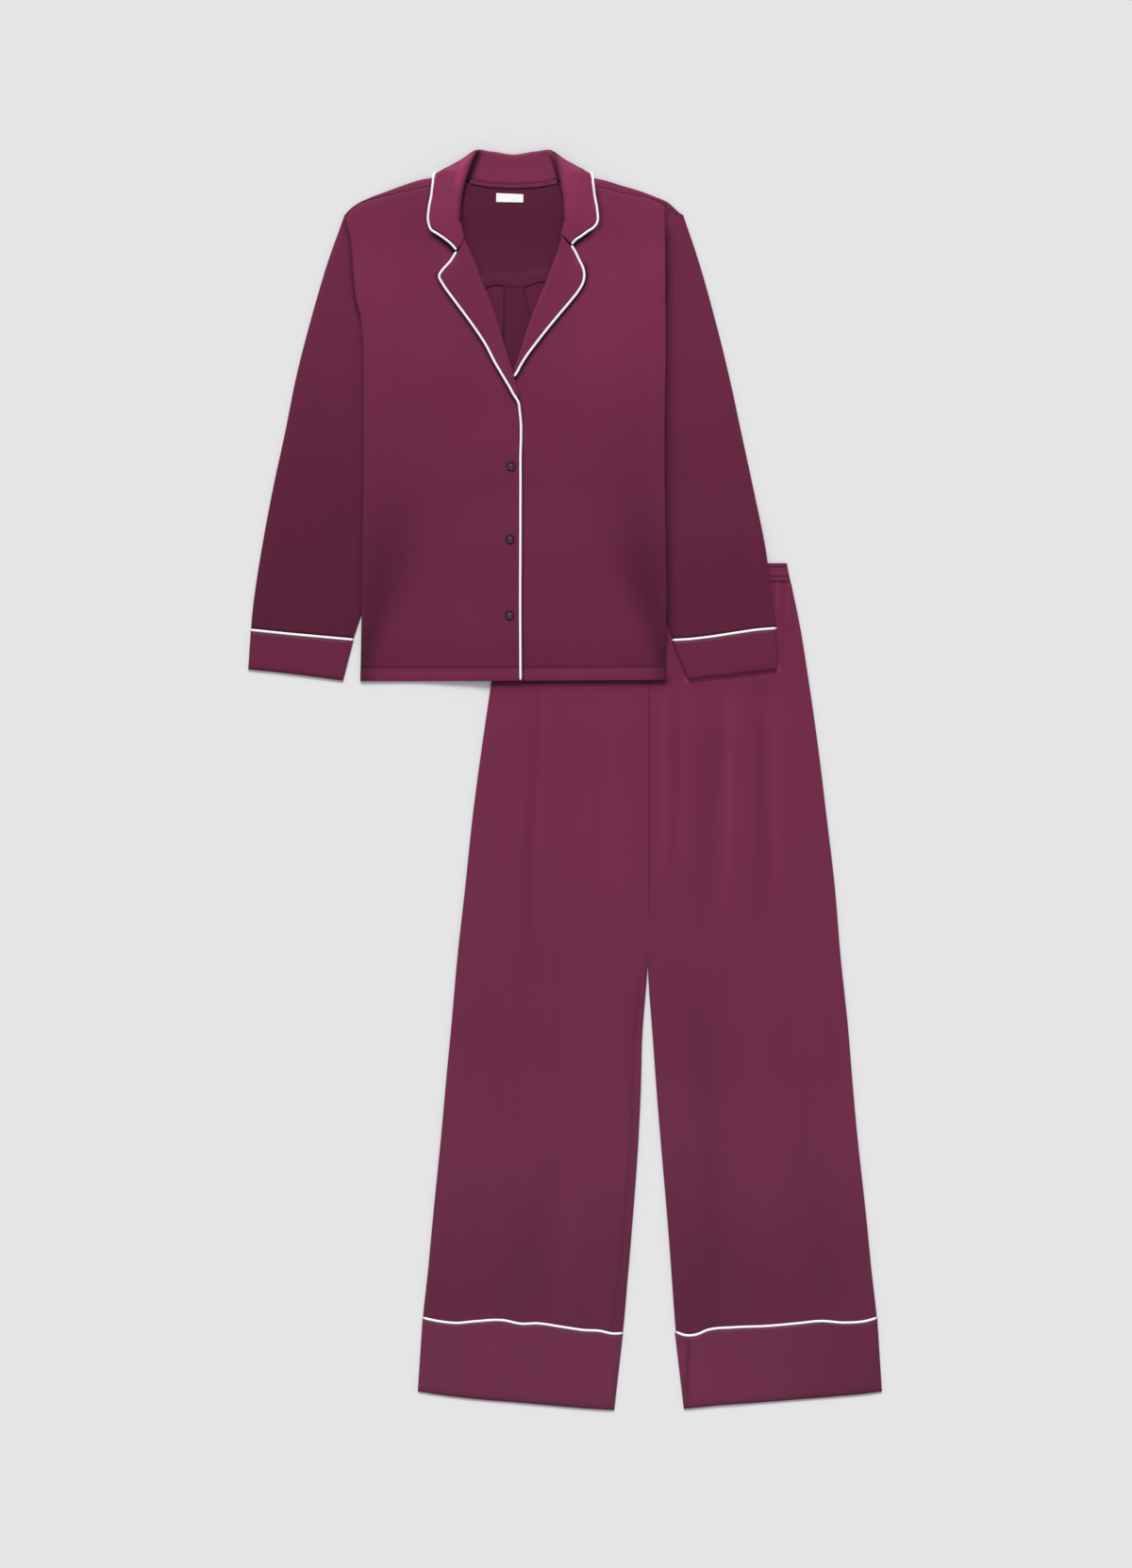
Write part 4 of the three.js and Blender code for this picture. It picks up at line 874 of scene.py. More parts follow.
def gather_wave(x: np.ndarray) -> np.ndarray:
    """Wave of the gathers below the waistband, from -1 to 1."""
    return np.cos(2 * np.pi * (x - GATHER_X) / GATHER_SPACING)


def lifted(xy: np.ndarray, outline: Points, height: float, margin: float, slope: float) -> np.ndarray:
    """Full height inside an outline and for a margin round it, then a soft slope down to nothing.

    Args:
        xy: Plan points.
        outline: The outline.
        height: Full height.
        margin: Width of the margin.
        slope: Width of the slope.

    Returns:
        The heights.
    """
    return height * (1 - smooth((to_outline(xy, outline) - margin) / slope))


@dataclass(frozen=True)
class Layers:
    """Heights at which the two garments and their parts lie on one another."""

    body_crown: float = 0.9
    side_round: float = 20.0
    shoulder_round: float = 14.0
    hem_round: float = 16.0
    hem_y: float = 125.5
    hem_raise: float = 0.5
    stitch_depth: float = 0.25
    lap_x: float = -124.0
    lap_top_y: float = 505.0
    sleeve_crown: float = 1.4
    sleeve_round: float = 15.0
    sleeve_gap: float = 0.4
    leg_crown: float = 2.0
    leg_round: float = 16.0
    centre_width: float = 1.6
    crotch_y: float = -236.0
    gather_height: float = 0.4
    body_ripple: Ripple = Ripple(0.14, 130.0, 0.6)
    leg_ripple: Ripple = Ripple(0.2, 150.0, 2.0)
    arm_ripple: Ripple = Ripple(0.14, 110.0, 4.0)
    leg_folds: tuple[Fold, ...] = (
        Fold((-38, 118), (-47, -190), 9, -1.0),
        Fold((-27, 118), (-36, -190), 6, 0.7),
        Fold((60, 118), (72, -190), 20, 0.5),
        Fold((127, 118), (124, -120), 7, 1.3),
        Fold((141, 118), (140, -120), 5, -0.8),
        Fold((154, 118), (148, -120), 6, 0.8),
        Fold((190, 118), (172, -190), 14, -0.9),
        Fold((212, 118), (206, -160), 8, 1.2),
        Fold((248, 118), (250, -180), 9, -1.3),
        Fold((266, 118), (272, -170), 8, 0.8),
        Fold((-20, -470), (-60, -660), 26, -0.7),
        Fold((20, -520), (-10, -690), 16, 0.5),
        Fold((300, -380), (330, -640), 28, -0.6),
        Fold((150, -330), (172, -660), 12, 0.6),
    )

    @staticmethod
    def over_trousers(xy: np.ndarray) -> np.ndarray:
        """Height of the trousers under whatever lies on them."""
        return lifted(xy, TROUSERS_LIFT, TROUSERS_UNDER_JACKET, 12, 90)

    def under_back(self, xy: np.ndarray) -> np.ndarray:
        """Underside of the jacket's back: on the trousers, the tucked sleeves and the fall of the collar.

        Args:
            xy: Plan points.

        Returns:
            The heights.
        """
        sleeves = np.maximum(*(lifted(xy, outline, SLEEVE_UNDER_BODY, 10, 80) for outline in TUCK_LIFT))
        beside = np.maximum(np.maximum(-176 - xy[..., 0], xy[..., 0] - 46), 0)
        collar = COLLAR_UNDER_YOKE * smooth((xy[..., 1] - 672) / 64) * (1 - smooth(beside / 70))
        return self.over_trousers(xy) + sleeves + collar

    def crown_of_body(self, xy: np.ndarray) -> np.ndarray:
        """Crown of the fronts: it falls to nothing at the hem, the side folds and the shoulder folds.

        Args:
            xy: Plan points.

        Returns:
            The heights.
        """
        sides = np.min([to_line(xy, FRONT_SIDE[side][:9]) for side in Side], axis=0)
        shoulders = np.min([to_line(xy, SHOULDER[side]) for side in Side], axis=0)
        low = np.maximum(xy[..., 1] - self.hem_y, 0)
        inner = np.minimum(np.minimum(sides / self.side_round, shoulders / self.shoulder_round),
                           low / self.hem_round)
        return (self.body_crown + self.body_ripple.at(xy)) * dome(inner)

    def seams_of_body(self, xy: np.ndarray) -> np.ndarray:
        """Dip of the fronts along the armhole and shoulder seams."""
        lines = [table[side] for table in (ARMHOLE, FORWARD_SEAM) for side in Side]
        return bell(np.min([to_line(xy, line) for line in lines], axis=0), SEAM_DEPTH, SEAM_WIDTH)

    def under_front(self, side: Side) -> Height:
        """Underside of a front, the right one lapped over the left near the buttons.

        Args:
            side: The front's side.

        Returns:
            A function of plan points.
        """
        def height(xy: np.ndarray) -> np.ndarray:
            """Height of the underside.

            Args:
                xy: Plan points.

            Returns:
                The heights.
            """
            base = self.under_back(xy) + PLY + FRONT_OVER_BACK
            base += self.crown_of_body(xy) - self.seams_of_body(xy)
            if side is Side.LEFT:
                return base
            over_hem = self.hem_raise * (1 - smooth((xy[..., 1] - 156) / 60))
            lapped = smooth((xy[..., 0] - self.lap_x) / 24) * (1 - smooth((xy[..., 1] - self.lap_top_y) / 60))
            return base + (PLY + over_hem) * lapped

        return height

    def front_thickness(self, xy: np.ndarray) -> np.ndarray:
        """Thickness of a front: cloth, and the turned-up hem with a dip at its line of stitching.

        Args:
            xy: Plan points.

        Returns:
            The thicknesses.
        """
        hem = 1 - smooth((xy[..., 1] - HEM_STITCH_Y + 0.6) / 1.6)
        return CLOTH + self.hem_raise * hem - bell(xy[..., 1] - HEM_STITCH_Y + 2.4, self.stitch_depth, 0.9)

    def over_leg(self, xy: np.ndarray) -> np.ndarray:
        """Underside of the upper cloth of the trousers, from the back's top.

        It is t + s ((c + folds) dome(d / r) - centre seam) + gathers, with d the distance from the outline
        and s falling to 0 under the jacket.

        Args:
            xy: Plan points.

        Returns:
            The heights.
        """
        outline = ([*LEG_OUTER[Side.RIGHT], *BAND_HEM[Side.RIGHT]]
                   + [*reversed(LEG_INNER[Side.RIGHT][6:]), *LEG_INNER[Side.LEFT][6:]]
                   + [*BAND_HEM[Side.LEFT], *reversed(LEG_OUTER[Side.LEFT])])
        x, y = xy[..., 0], xy[..., 1]
        crown = dome(np.maximum(-to_outline(xy, outline), 0) / self.leg_round)
        folds = sum(fold.at(xy) for fold in self.leg_folds) + self.leg_ripple.at(xy)
        centre = bell(np.abs(x - TROUSER_CENTRE_X), SEAM_DEPTH, self.centre_width) * (y > self.crotch_y)
        gathers = self.gather_height * (1 + gather_wave(x)) * np.exp(-np.abs(GATHER_TOP_Y - y) / 40)
        return PLY + smooth((118 - y) / 60) * ((self.leg_crown + folds) * crown - centre) + gathers

    def over_arm(self, side: Side) -> Height:
        """Upper side of a sleeve or cuff.

        Args:
            side: The sleeve's side.

        Returns:
            A function of plan points.
        """
        right = side is Side.RIGHT
        shoulder = () if right else FORWARD_SEAM[side][-3:]
        hem = CUFF_HEM[side] if right else CUFF_HEM[side][::-1]
        edge = [*shoulder, *SLEEVE_OUTER[side], *hem, *reversed(SLEEVE_UNDER[side][-2:])]
        body = [*FRONT_SIDE[Side.RIGHT], *reversed(FRONT_SIDE[Side.LEFT])]

        def height(xy: np.ndarray) -> np.ndarray:
            """Height of the upper side.

            Args:
                xy: Plan points.

            Returns:
                The heights.
            """
            beside = np.maximum(to_outline(xy, body) / 18, (xy[..., 1] - 610) / 50)
            crown = (self.sleeve_crown + self.arm_ripple.at(xy)) * dome(to_line(xy, edge) / self.sleeve_round)
            seam = bell(to_line(xy, ARMHOLE[side]), 0.7 * SEAM_DEPTH, SEAM_WIDTH)
            return self.over_trousers(xy) + 2 * CLOTH + self.sleeve_gap + crown * smooth(beside) - seam

        return height


# Finishes
def add_node(tree: bpy.types.NodeTree, kind: str, values: dict[str | int, object] | None = None,
             **settings: object) -> bpy.types.Node:
    """A new node in a tree.

    Args:
        tree: The node tree.
        kind: The node's type.
        values: What goes into each input: the output of another node, or a value.
        settings: The node's own properties by name.

    Returns:
        The node.
    """
    node = tree.nodes.new(kind)
    for key, value in settings.items():
        setattr(node, key, value)
    for socket, value in (values or {}).items():
        if isinstance(value, bpy.types.NodeSocket):
            tree.links.new(value, node.inputs[socket])
        else:
            node.inputs[socket].default_value = value
    return node


@dataclass(frozen=True)
class SatinSurface:
    """Fine relief and soft changes of tone that all the satin shares, from object coordinates in metres.

    Height is a fine weave plus long faint threads. Tone is a broad noise times a streaky one, both about 1.
    Low is (start - y) / (start - end), from 0 at the thighs to 1 above the trouser hems: the mask of a
    painted sheen on the lower legs.
    """

    thread_stretch: float = 0.12
    thread_scale: float = 900.0
    weave_scale: float = 520.0
    weave_share: float = 0.35
    broad_scale: float = 6.0
    broad_tone: tuple[float, float] = (0.93, 1.07)
    streak_scale: float = 55.0
    streak_tone: tuple[float, float] = (0.95, 1.05)
    low_start: float = 0.15
    low_end: float = -0.616

    def group(self) -> bpy.types.NodeTree:
        """Builds the node group.

        Returns:
            The group, with input Position and outputs Height, Tone and Low.
        """
        tree = bpy.data.node_groups.new("SatinSurface", "ShaderNodeTree")
        tree.interface.new_socket("Position", in_out="INPUT", socket_type="NodeSocketVector")
        for label in ("Height", "Tone", "Low"):
            tree.interface.new_socket(label, in_out="OUTPUT", socket_type="NodeSocketFloat")
        position = tree.nodes.new("NodeGroupInput").outputs["Position"]
        stretch = {"Vector": position, "Scale": (1.0, self.thread_stretch, 1.0)}
        drawn = add_node(tree, "ShaderNodeMapping", stretch).outputs["Vector"]
        threads, broad, streaks = (
            add_node(tree, "ShaderNodeTexNoise",
                     {"Vector": at, "Scale": scale, "Detail": detail}).outputs["Fac"]
            for at, scale, detail in ((drawn, self.thread_scale, 2.0), (position, self.broad_scale, 1.0),
                                      (drawn, self.streak_scale, 3.0)))
        weave = add_node(tree, "ShaderNodeTexWave",
                         {"Vector": position, "Scale": self.weave_scale, "Distortion": 0.4},
                         wave_type="BANDS", bands_direction="DIAGONAL").outputs["Fac"]
        height = add_node(tree, "ShaderNodeMath", {0: weave, 1: self.weave_share, 2: threads},
                          operation="MULTIPLY_ADD")
        level, fine = (
            add_node(tree, "ShaderNodeMapRange",
                     {"Value": value, "To Min": low, "To Max": high}).outputs["Result"]
            for value, (low, high) in ((broad, self.broad_tone), (streaks, self.streak_tone)))
        tone = add_node(tree, "ShaderNodeMath", {0: level, 1: fine}, operation="MULTIPLY")
        along = add_node(tree, "ShaderNodeSeparateXYZ", {"Vector": position}).outputs["Y"]
        low = add_node(tree, "ShaderNodeMapRange",
                       {"Value": along, "From Min": self.low_start, "From Max": self.low_end})
        add_node(tree, "NodeGroupOutput",
                 {"Height": height.outputs[0], "Tone": tone.outputs[0], "Low": low.outputs["Result"]})
        return tree


@dataclass(frozen=True)
class SatinFinish:
    """Dyed satin: smooth, with a soft sheen and a fine weave, and a painted sheen that greys it low on the
    legs.
    """

    name: str
    color: tuple[float, float, float]
    roughness: float = 0.46
    specular: float = 0.12
    sheen: float = 0.05
    sheen_roughness: float = 0.4
    relief: float = 0.05
    relief_height: float = 0.0004
    # Painted sheen: grey added to the colour low on the legs, where the satin's sheen looks stronger.
    painted_sheen_low: tuple[float, float, float] = (0.005, 0.0075, 0.0114)

    def material(self, surface: bpy.types.NodeTree) -> bpy.types.Material:
        """Builds the material: (colour + painted sheen times Low) times the cloth's tone, with a bump from
        the weave.

        Args:
            surface: The group of the satin's surface.

        Returns:
            The material.
        """
        material = bpy.data.materials.new(self.name)
        material.use_nodes = True
        tree = material.node_tree
        place = add_node(tree, "ShaderNodeTexCoord").outputs["Object"]
        shared = add_node(tree, "ShaderNodeGroup", node_tree=surface)
        tree.links.new(place, shared.inputs["Position"])
        shade = add_node(tree, "ShaderNodeAttribute", attribute_name="tone").outputs["Fac"]
        tone = add_node(tree, "ShaderNodeMath", {0: shade, 1: shared.outputs["Tone"]}, operation="MULTIPLY")
        colour_and_painted_sheen = add_node(tree, "ShaderNodeVectorMath",
                          {0: self.painted_sheen_low, 1: shared.outputs["Low"], 2: self.color},
                          operation="MULTIPLY_ADD")
        scaled = add_node(tree, "ShaderNodeVectorMath", {0: colour_and_painted_sheen.outputs[0], "Scale": tone.outputs[0]},
                          operation="SCALE")
        bump = add_node(tree, "ShaderNodeBump", {"Strength": self.relief, "Distance": self.relief_height,
                                                 "Height": shared.outputs["Height"]})
        shader = tree.nodes["Principled BSDF"]
        shader.inputs["Roughness"].default_value = self.roughness
        shader.inputs["Specular IOR Level"].default_value = self.specular
        shader.inputs["Sheen Weight"].default_value = self.sheen
        shader.inputs["Sheen Roughness"].default_value = self.sheen_roughness
        tree.links.new(scaled.outputs[0], shader.inputs["Base Color"])
        tree.links.new(bump.outputs["Normal"], shader.inputs["Normal"])
        return material


@dataclass(frozen=True)
class PlainFinish:
    """A plain finish of one colour."""

    name: str
    color: tuple[float, float, float]
    roughness: float
    specular: float

    def material(self) -> bpy.types.Material:
        """Builds the material.

        Returns:
            The material.
        """
        material = bpy.data.materials.new(self.name)
        material.use_nodes = True
        shader = material.node_tree.nodes["Principled BSDF"]
        shader.inputs["Base Color"].default_value = (*self.color, 1.0)
        shader.inputs["Roughness"].default_value = self.roughness
        shader.inputs["Specular IOR Level"].default_value = self.specular
        return material


@dataclass(frozen=True)
class Finishes:
    """The materials of the set."""

    satin: bpy.types.Material
    inside: bpy.types.Material
    piping: bpy.types.Material
    label: bpy.types.Material
    button: bpy.types.Material
    thread: bpy.types.Material

    @classmethod
    def build(cls) -> "Finishes":
        """Builds every finish once.

        Returns:
            The finishes.
        """
        surface = SatinSurface().group()
        return cls(
            satin=SatinFinish("Satin", (0.151, 0.0185, 0.058)).material(surface),
            # The inside is the satin's duller reverse side, its colour also darkened by painted shade from
            # the layers round it.
            inside=SatinFinish("SatinInsideShaded", (0.092, 0.0105, 0.0355), roughness=0.6).material(surface),
            piping=PlainFinish("PipingSatin", (0.98, 0.965, 0.965), 0.5, 0.4).material(),
            label=PlainFinish("LabelTape", (0.97, 0.965, 0.96), 0.8, 0.2).material(),
            button=PlainFinish("ButtonResin", (0.04, 0.012, 0.024), 0.55, 0.25).material(),
            thread=PlainFinish("Thread", (0.34, 0.14, 0.24), 0.6, 0.3).material(),
        )


def dress(obj: bpy.types.Object, material: bpy.types.Material, slot: Slot,
          nodes: Sequence[str] = ()) -> bpy.types.Object:
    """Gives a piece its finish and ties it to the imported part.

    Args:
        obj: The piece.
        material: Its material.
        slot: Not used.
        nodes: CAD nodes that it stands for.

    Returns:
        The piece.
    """
    obj.data.materials.append(material)
    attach(obj, "root")
    if nodes:
        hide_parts(*nodes)
    return obj


def declare(outline: Points,
            tube: Round | None = None) -> None:
    """Turns a cloth piece's outline in plan into points, and does nothing more with them.

    Args:
        outline: Its outline, in millimetres.
        tube: Not used.
    """
    points = np.asarray([point[:2] for point in outline], float)


# Painted light and shade of the cloth
DISPLAY_GAMMA = 2.2


def beside(xy: np.ndarray, line: Points, depth: float, width: float, start: float = 0.0) -> np.ndarray:
    """Shade beside a line: 1 - a exp(-(max(d - s, 0) / w)^2), with the distance d from it.

    Args:
        xy: Plan points.
        line: The line.
        depth: How dark it is at the line, from 0 to 1.
        width: How far it reaches.
        start: Distance from the line at which it starts to fade.

    Returns:
        A factor of lightness.
    """
    return 1 - bell(np.maximum(to_line(xy, line) - start, 0), depth, width)


@dataclass(frozen=True)
class Ramp:
    """A change that comes in along a direction, backwards where its run is below zero."""

    start: float
    run: float
    height: float = 1.0

    def at(self, place: np.ndarray) -> np.ndarray:
        """Height h smooth((p - start) / run) at places p along the direction."""
        return self.height * smooth((place - self.start) / self.run)


@dataclass(frozen=True)
class PaintedLightAndShade:
    """Painted light and shade of the cloth: lightness over each part that stands in for how the light falls
    on it,
    1 being the middle of the fronts.

    Each method returns that lightness to the power of 2.2, as the colour of the cloth takes it. A pair of
    numbers is how dark a painted shade is, from 0 to 1, and how far it reaches; a depth below zero paints
    light.
    """

    cord_edge: float = 1.4
    shoulders: Ramp = Ramp(400, 300, 0.08)
    left_chest: Ramp = Ramp(-30, 80, 0.04)
    above_buttons: Ramp = Ramp(420, 120)
    below_chest: Ramp = Ramp(440, -120, -0.03)
    above_hem: Ramp = Ramp(200, -50, -0.06)
    hem: Ramp = Ramp(HEM_STITCH_Y, -2, 0.12)
    side_shade: Ramp = Ramp(560, -100)
    side_least: float = 0.03
    side_deeper: Ramp = Ramp(430, -230, 0.19)
    side_folds: tuple[float, float] = (-258, 127)
    side_middle_y: float = 272.0
    arm_down: Ramp = Ramp(700, -520)
    leg_even: float = 1.03
    leg_down: Ramp = Ramp(60, -400, -0.05)
    leg_foot: Ramp = Ramp(-460, -200, -0.1)
    leg_folds: float = 0.055
    leg_gathers: float = 0.07
    leg_hollow: Ramp = Ramp(-200, -150)
    leg_hollow_x: float = 172.0
    centre_seam: Ramp = Ramp(-190, 60)
    left_band: Ramp = Ramp(230, 150, 0.08)
    band_height: Ramp = Ramp(-600, -50)
    collar_even: float = 1.16
    collar_fall: Ramp = Ramp(56, 12, 0.05)
    collar_low: Ramp = Ramp(716, -30, -0.05)
    at_armhole: tuple[float, float] = (0.2, 2.4)
    at_hem_stitch: tuple[float, float] = (0.2, 1.3)
    at_collar_end: tuple[float, float] = (0.78, 5.2)
    at_collar_edge: tuple[float, float] = (0.2, 3.0)
    at_front_edge: tuple[float, float] = (0.45, 1.7)
    at_wrist: tuple[float, float] = (0.14, 2.0)
    at_band: tuple[float, float] = (0.2, 2.2)
    at_band_inseam: tuple[float, float] = (0.18, 2.2)
    at_leg_inseam: tuple[float, float] = (0.08, 2.4)
    below_jacket: tuple[float, float] = (0.3, 6.0)
    below_cuff: tuple[float, float] = (-0.3, 4.5)
    jacket_hem: Points = ((-110, 125.5), (127, 126.5))
    right_crease: Points = ((-109.5, 801), (-117.5, 777), (-124.5, 758), (-129, 735), (-131, 712))
    left_crease: Points = ((-15, 799), (-10.5, 777), (-7.5, 760), (-5, 737), (-2.5, 712))
    neck_crease: Points = ((-120, 764), (-101, 760), (-65.4, 757.6), (-30, 760), (-11, 764))
    right_crest: Points = ((-122, 793), (-131, 776), (-136, 760))
    left_crest: Points = ((-4, 792), (2, 776), (6, 760))

    def contact(self, xy: np.ndarray) -> np.ndarray:
        """Shade that lapels, collar and front edge lay on the fronts beside and below their piping.

        Args:
            xy: Plan points.

        Returns:
            Factor of lightness.
        """
        shade = np.ones(xy.shape[:-1])
        for side, at_lapel in ((Side.RIGHT, (0.6, 3.2)), (Side.LEFT, (0.66, 3.6))):
            shade *= beside(xy, [row[2:4] for row in LAPEL[side][3:]], *at_lapel, self.cord_edge)
            end = [row[2:] for row in COLLAR_END[side][1:5]]
            shade *= beside(xy, end, *self.at_collar_end, self.cord_edge)
        right = [row[6:8] for row in COLLAR[:5]]
        left = [(2 * COLLAR_AXIS_X - x + 1.5, y) for x, y in right]
        for line in (right, left):
            shade *= beside(xy, line, *self.at_collar_edge, self.cord_edge)
        on_left = smooth((xy[..., 0] + 57) / 0.5)
        return shade * (1 - (1 - beside(xy, BREAK_TO_HEM, *self.at_front_edge, self.cord_edge)) * on_left)

    def body(self, xy: np.ndarray) -> np.ndarray:
        """Fronts: painted light and shade, lighter at the shoulders and the left chest, darker low beside
        both side folds, lighter again at the hem, with painted shade along the hem stitching and armholes and
        below the piping.

        The shade at a side fold is a exp(-((d - c) / w)^2), its centre c and width w growing with height.

        Args:
            xy: Plan points.

        Returns:
            The tone.
        """
        x, y = xy[..., 0], xy[..., 1]
        upper = self.shoulders.at(y) + self.left_chest.at(x) * self.above_buttons.at(y)
        from_side = np.minimum(*(np.abs(x - fold) for fold in self.side_folds))
        above, below = np.maximum(y - self.side_middle_y, 0), np.maximum(self.side_middle_y - y, 0)
        centre = np.maximum(24 + above * 0.12 - below * 0.19, 2)
        width = np.maximum(34 + above * 0.13 - below * 0.2, 12)
        sides = (self.side_least + self.side_deeper.at(y)) * bell(from_side - centre, 1.0, width)
        low = self.below_chest.at(y) + self.above_hem.at(y) + self.hem.at(y)
        seams = beside(xy, [(-262, HEM_STITCH_Y), (130, HEM_STITCH_Y)], *self.at_hem_stitch)
        for side in Side:
            seams *= beside(xy, ARMHOLE[side], *self.at_armhole)
        even = 1.0 + upper - sides * self.side_shade.at(y) + low
        return (even * seams * self.contact(xy)) ** DISPLAY_GAMMA

    def arm(self, side: Side) -> Height:
        """Sleeves: painted shade, darker down to the wrist, beside the body and along the armhole and the
        cuff seam.

        Args:
            side: The sleeve's side.

        Returns:
            A function of plan points.
        """
        right = side is Side.RIGHT
        top, drop = (0.98, 0.19) if right else (1.0, 0.14)
        at_body, last = ((0.1, 3.5), 9) if right else ((0.27, 8.0), 12)

        def tone(xy: np.ndarray) -> np.ndarray:
            """Tone at plan points.

            Args:
                xy: Plan points.

            Returns:
                The tone.
            """
            down = self.arm_down.at(xy[..., 1])
            near = beside(xy, FRONT_SIDE[side][1:last], *at_body)
            seam = beside(xy, ARMHOLE[side], *self.at_armhole)
            wrist = beside(xy, CUFF_SEAM[side], *self.at_wrist, self.cord_edge)
            return ((top - drop * down) * near * seam * wrist) ** DISPLAY_GAMMA

        return tone

    def leg(self, xy: np.ndarray) -> np.ndarray:
        """Legs: painted light and shade: even, then darker above the hem bands, lighter on the crests of
        folds and gathers and darker in their troughs and along the seams, shaded beside the jacket that lies
        on them, and lighter just below the left cuff.

        Args:
            xy: Plan points.

        Returns:
            The tone.
        """
        x, y = xy[..., 0], xy[..., 1]
        along = self.leg_even + self.leg_down.at(y) + self.leg_foot.at(y)
        folds = self.leg_folds * sum(fold.at(xy) for fold in Layers.leg_folds)
        gathers = self.leg_gathers * gather_wave(x) * np.exp(-np.abs(GATHER_TOP_Y - y) / 34)
        hollow = bell(x - self.leg_hollow_x, 0.06, 34) * self.leg_hollow.at(y)
        edges = beside(xy, self.jacket_hem, *self.below_jacket)
        edges *= beside(xy, CUFF_HEM[Side.LEFT], *self.below_cuff)
        seams = 1 - bell(x - TROUSER_CENTRE_X, 0.07, 1.6) * self.centre_seam.at(y)
        seams *= beside(xy, INSEAM[Side.RIGHT], *self.at_leg_inseam)
        return ((along + folds + gathers - hollow) * edges * seams) ** DISPLAY_GAMMA

    def band(self, line: Points, lightness: float) -> Height:
        """Cuffs and hem bands: an even painted lightness, with a thin painted shade under the piping and
        along the inseam, and darker towards the outer end of the left hem band.

        Args:
            line: Line of the piping.
            lightness: Painted lightness of the piece.

        Returns:
            A function of plan points.
        """
        def tone(xy: np.ndarray) -> np.ndarray:
            """Tone at plan points.

            Args:
                xy: Plan points.

            Returns:
                The tone.
            """
            outward = 1 - self.left_band.at(xy[..., 0]) * self.band_height.at(xy[..., 1])
            seams = (beside(xy, line, *self.at_band, self.cord_edge)
                     * beside(xy, INSEAM[Side.LEFT], *self.at_band_inseam))
            return (lightness * outward * seams) ** DISPLAY_GAMMA

        return tone

    def collar(self, xy: np.ndarray) -> np.ndarray:
        """Collar: painted light, lighter than the fronts, with painted shade in the creases where its stand
        meets the folded front parts and at the neck, and painted highlights on the crests outside them.

        Args:
            xy: Plan points.

        Returns:
            The tone.
        """
        crease = beside(xy, self.right_crease, 0.58, 4.2) * beside(xy, self.left_crease, 0.38, 3.2)
        crease *= beside(xy, self.neck_crease, 0.4, 1.2)
        crest = bell(to_line(xy, self.right_crest), 0.2, 6.0) + bell(to_line(xy, self.left_crest), 0.05, 7.0)
        fall = self.collar_fall.at(np.abs(xy[..., 0] - COLLAR_AXIS_X)) + self.collar_low.at(xy[..., 1])
        return ((self.collar_even + crest + fall) * crease) ** DISPLAY_GAMMA

    @staticmethod
    def even(lightness: float) -> float:
        """Tone of a piece with an even painted lightness, as the light falls on it."""
        return lightness ** DISPLAY_GAMMA


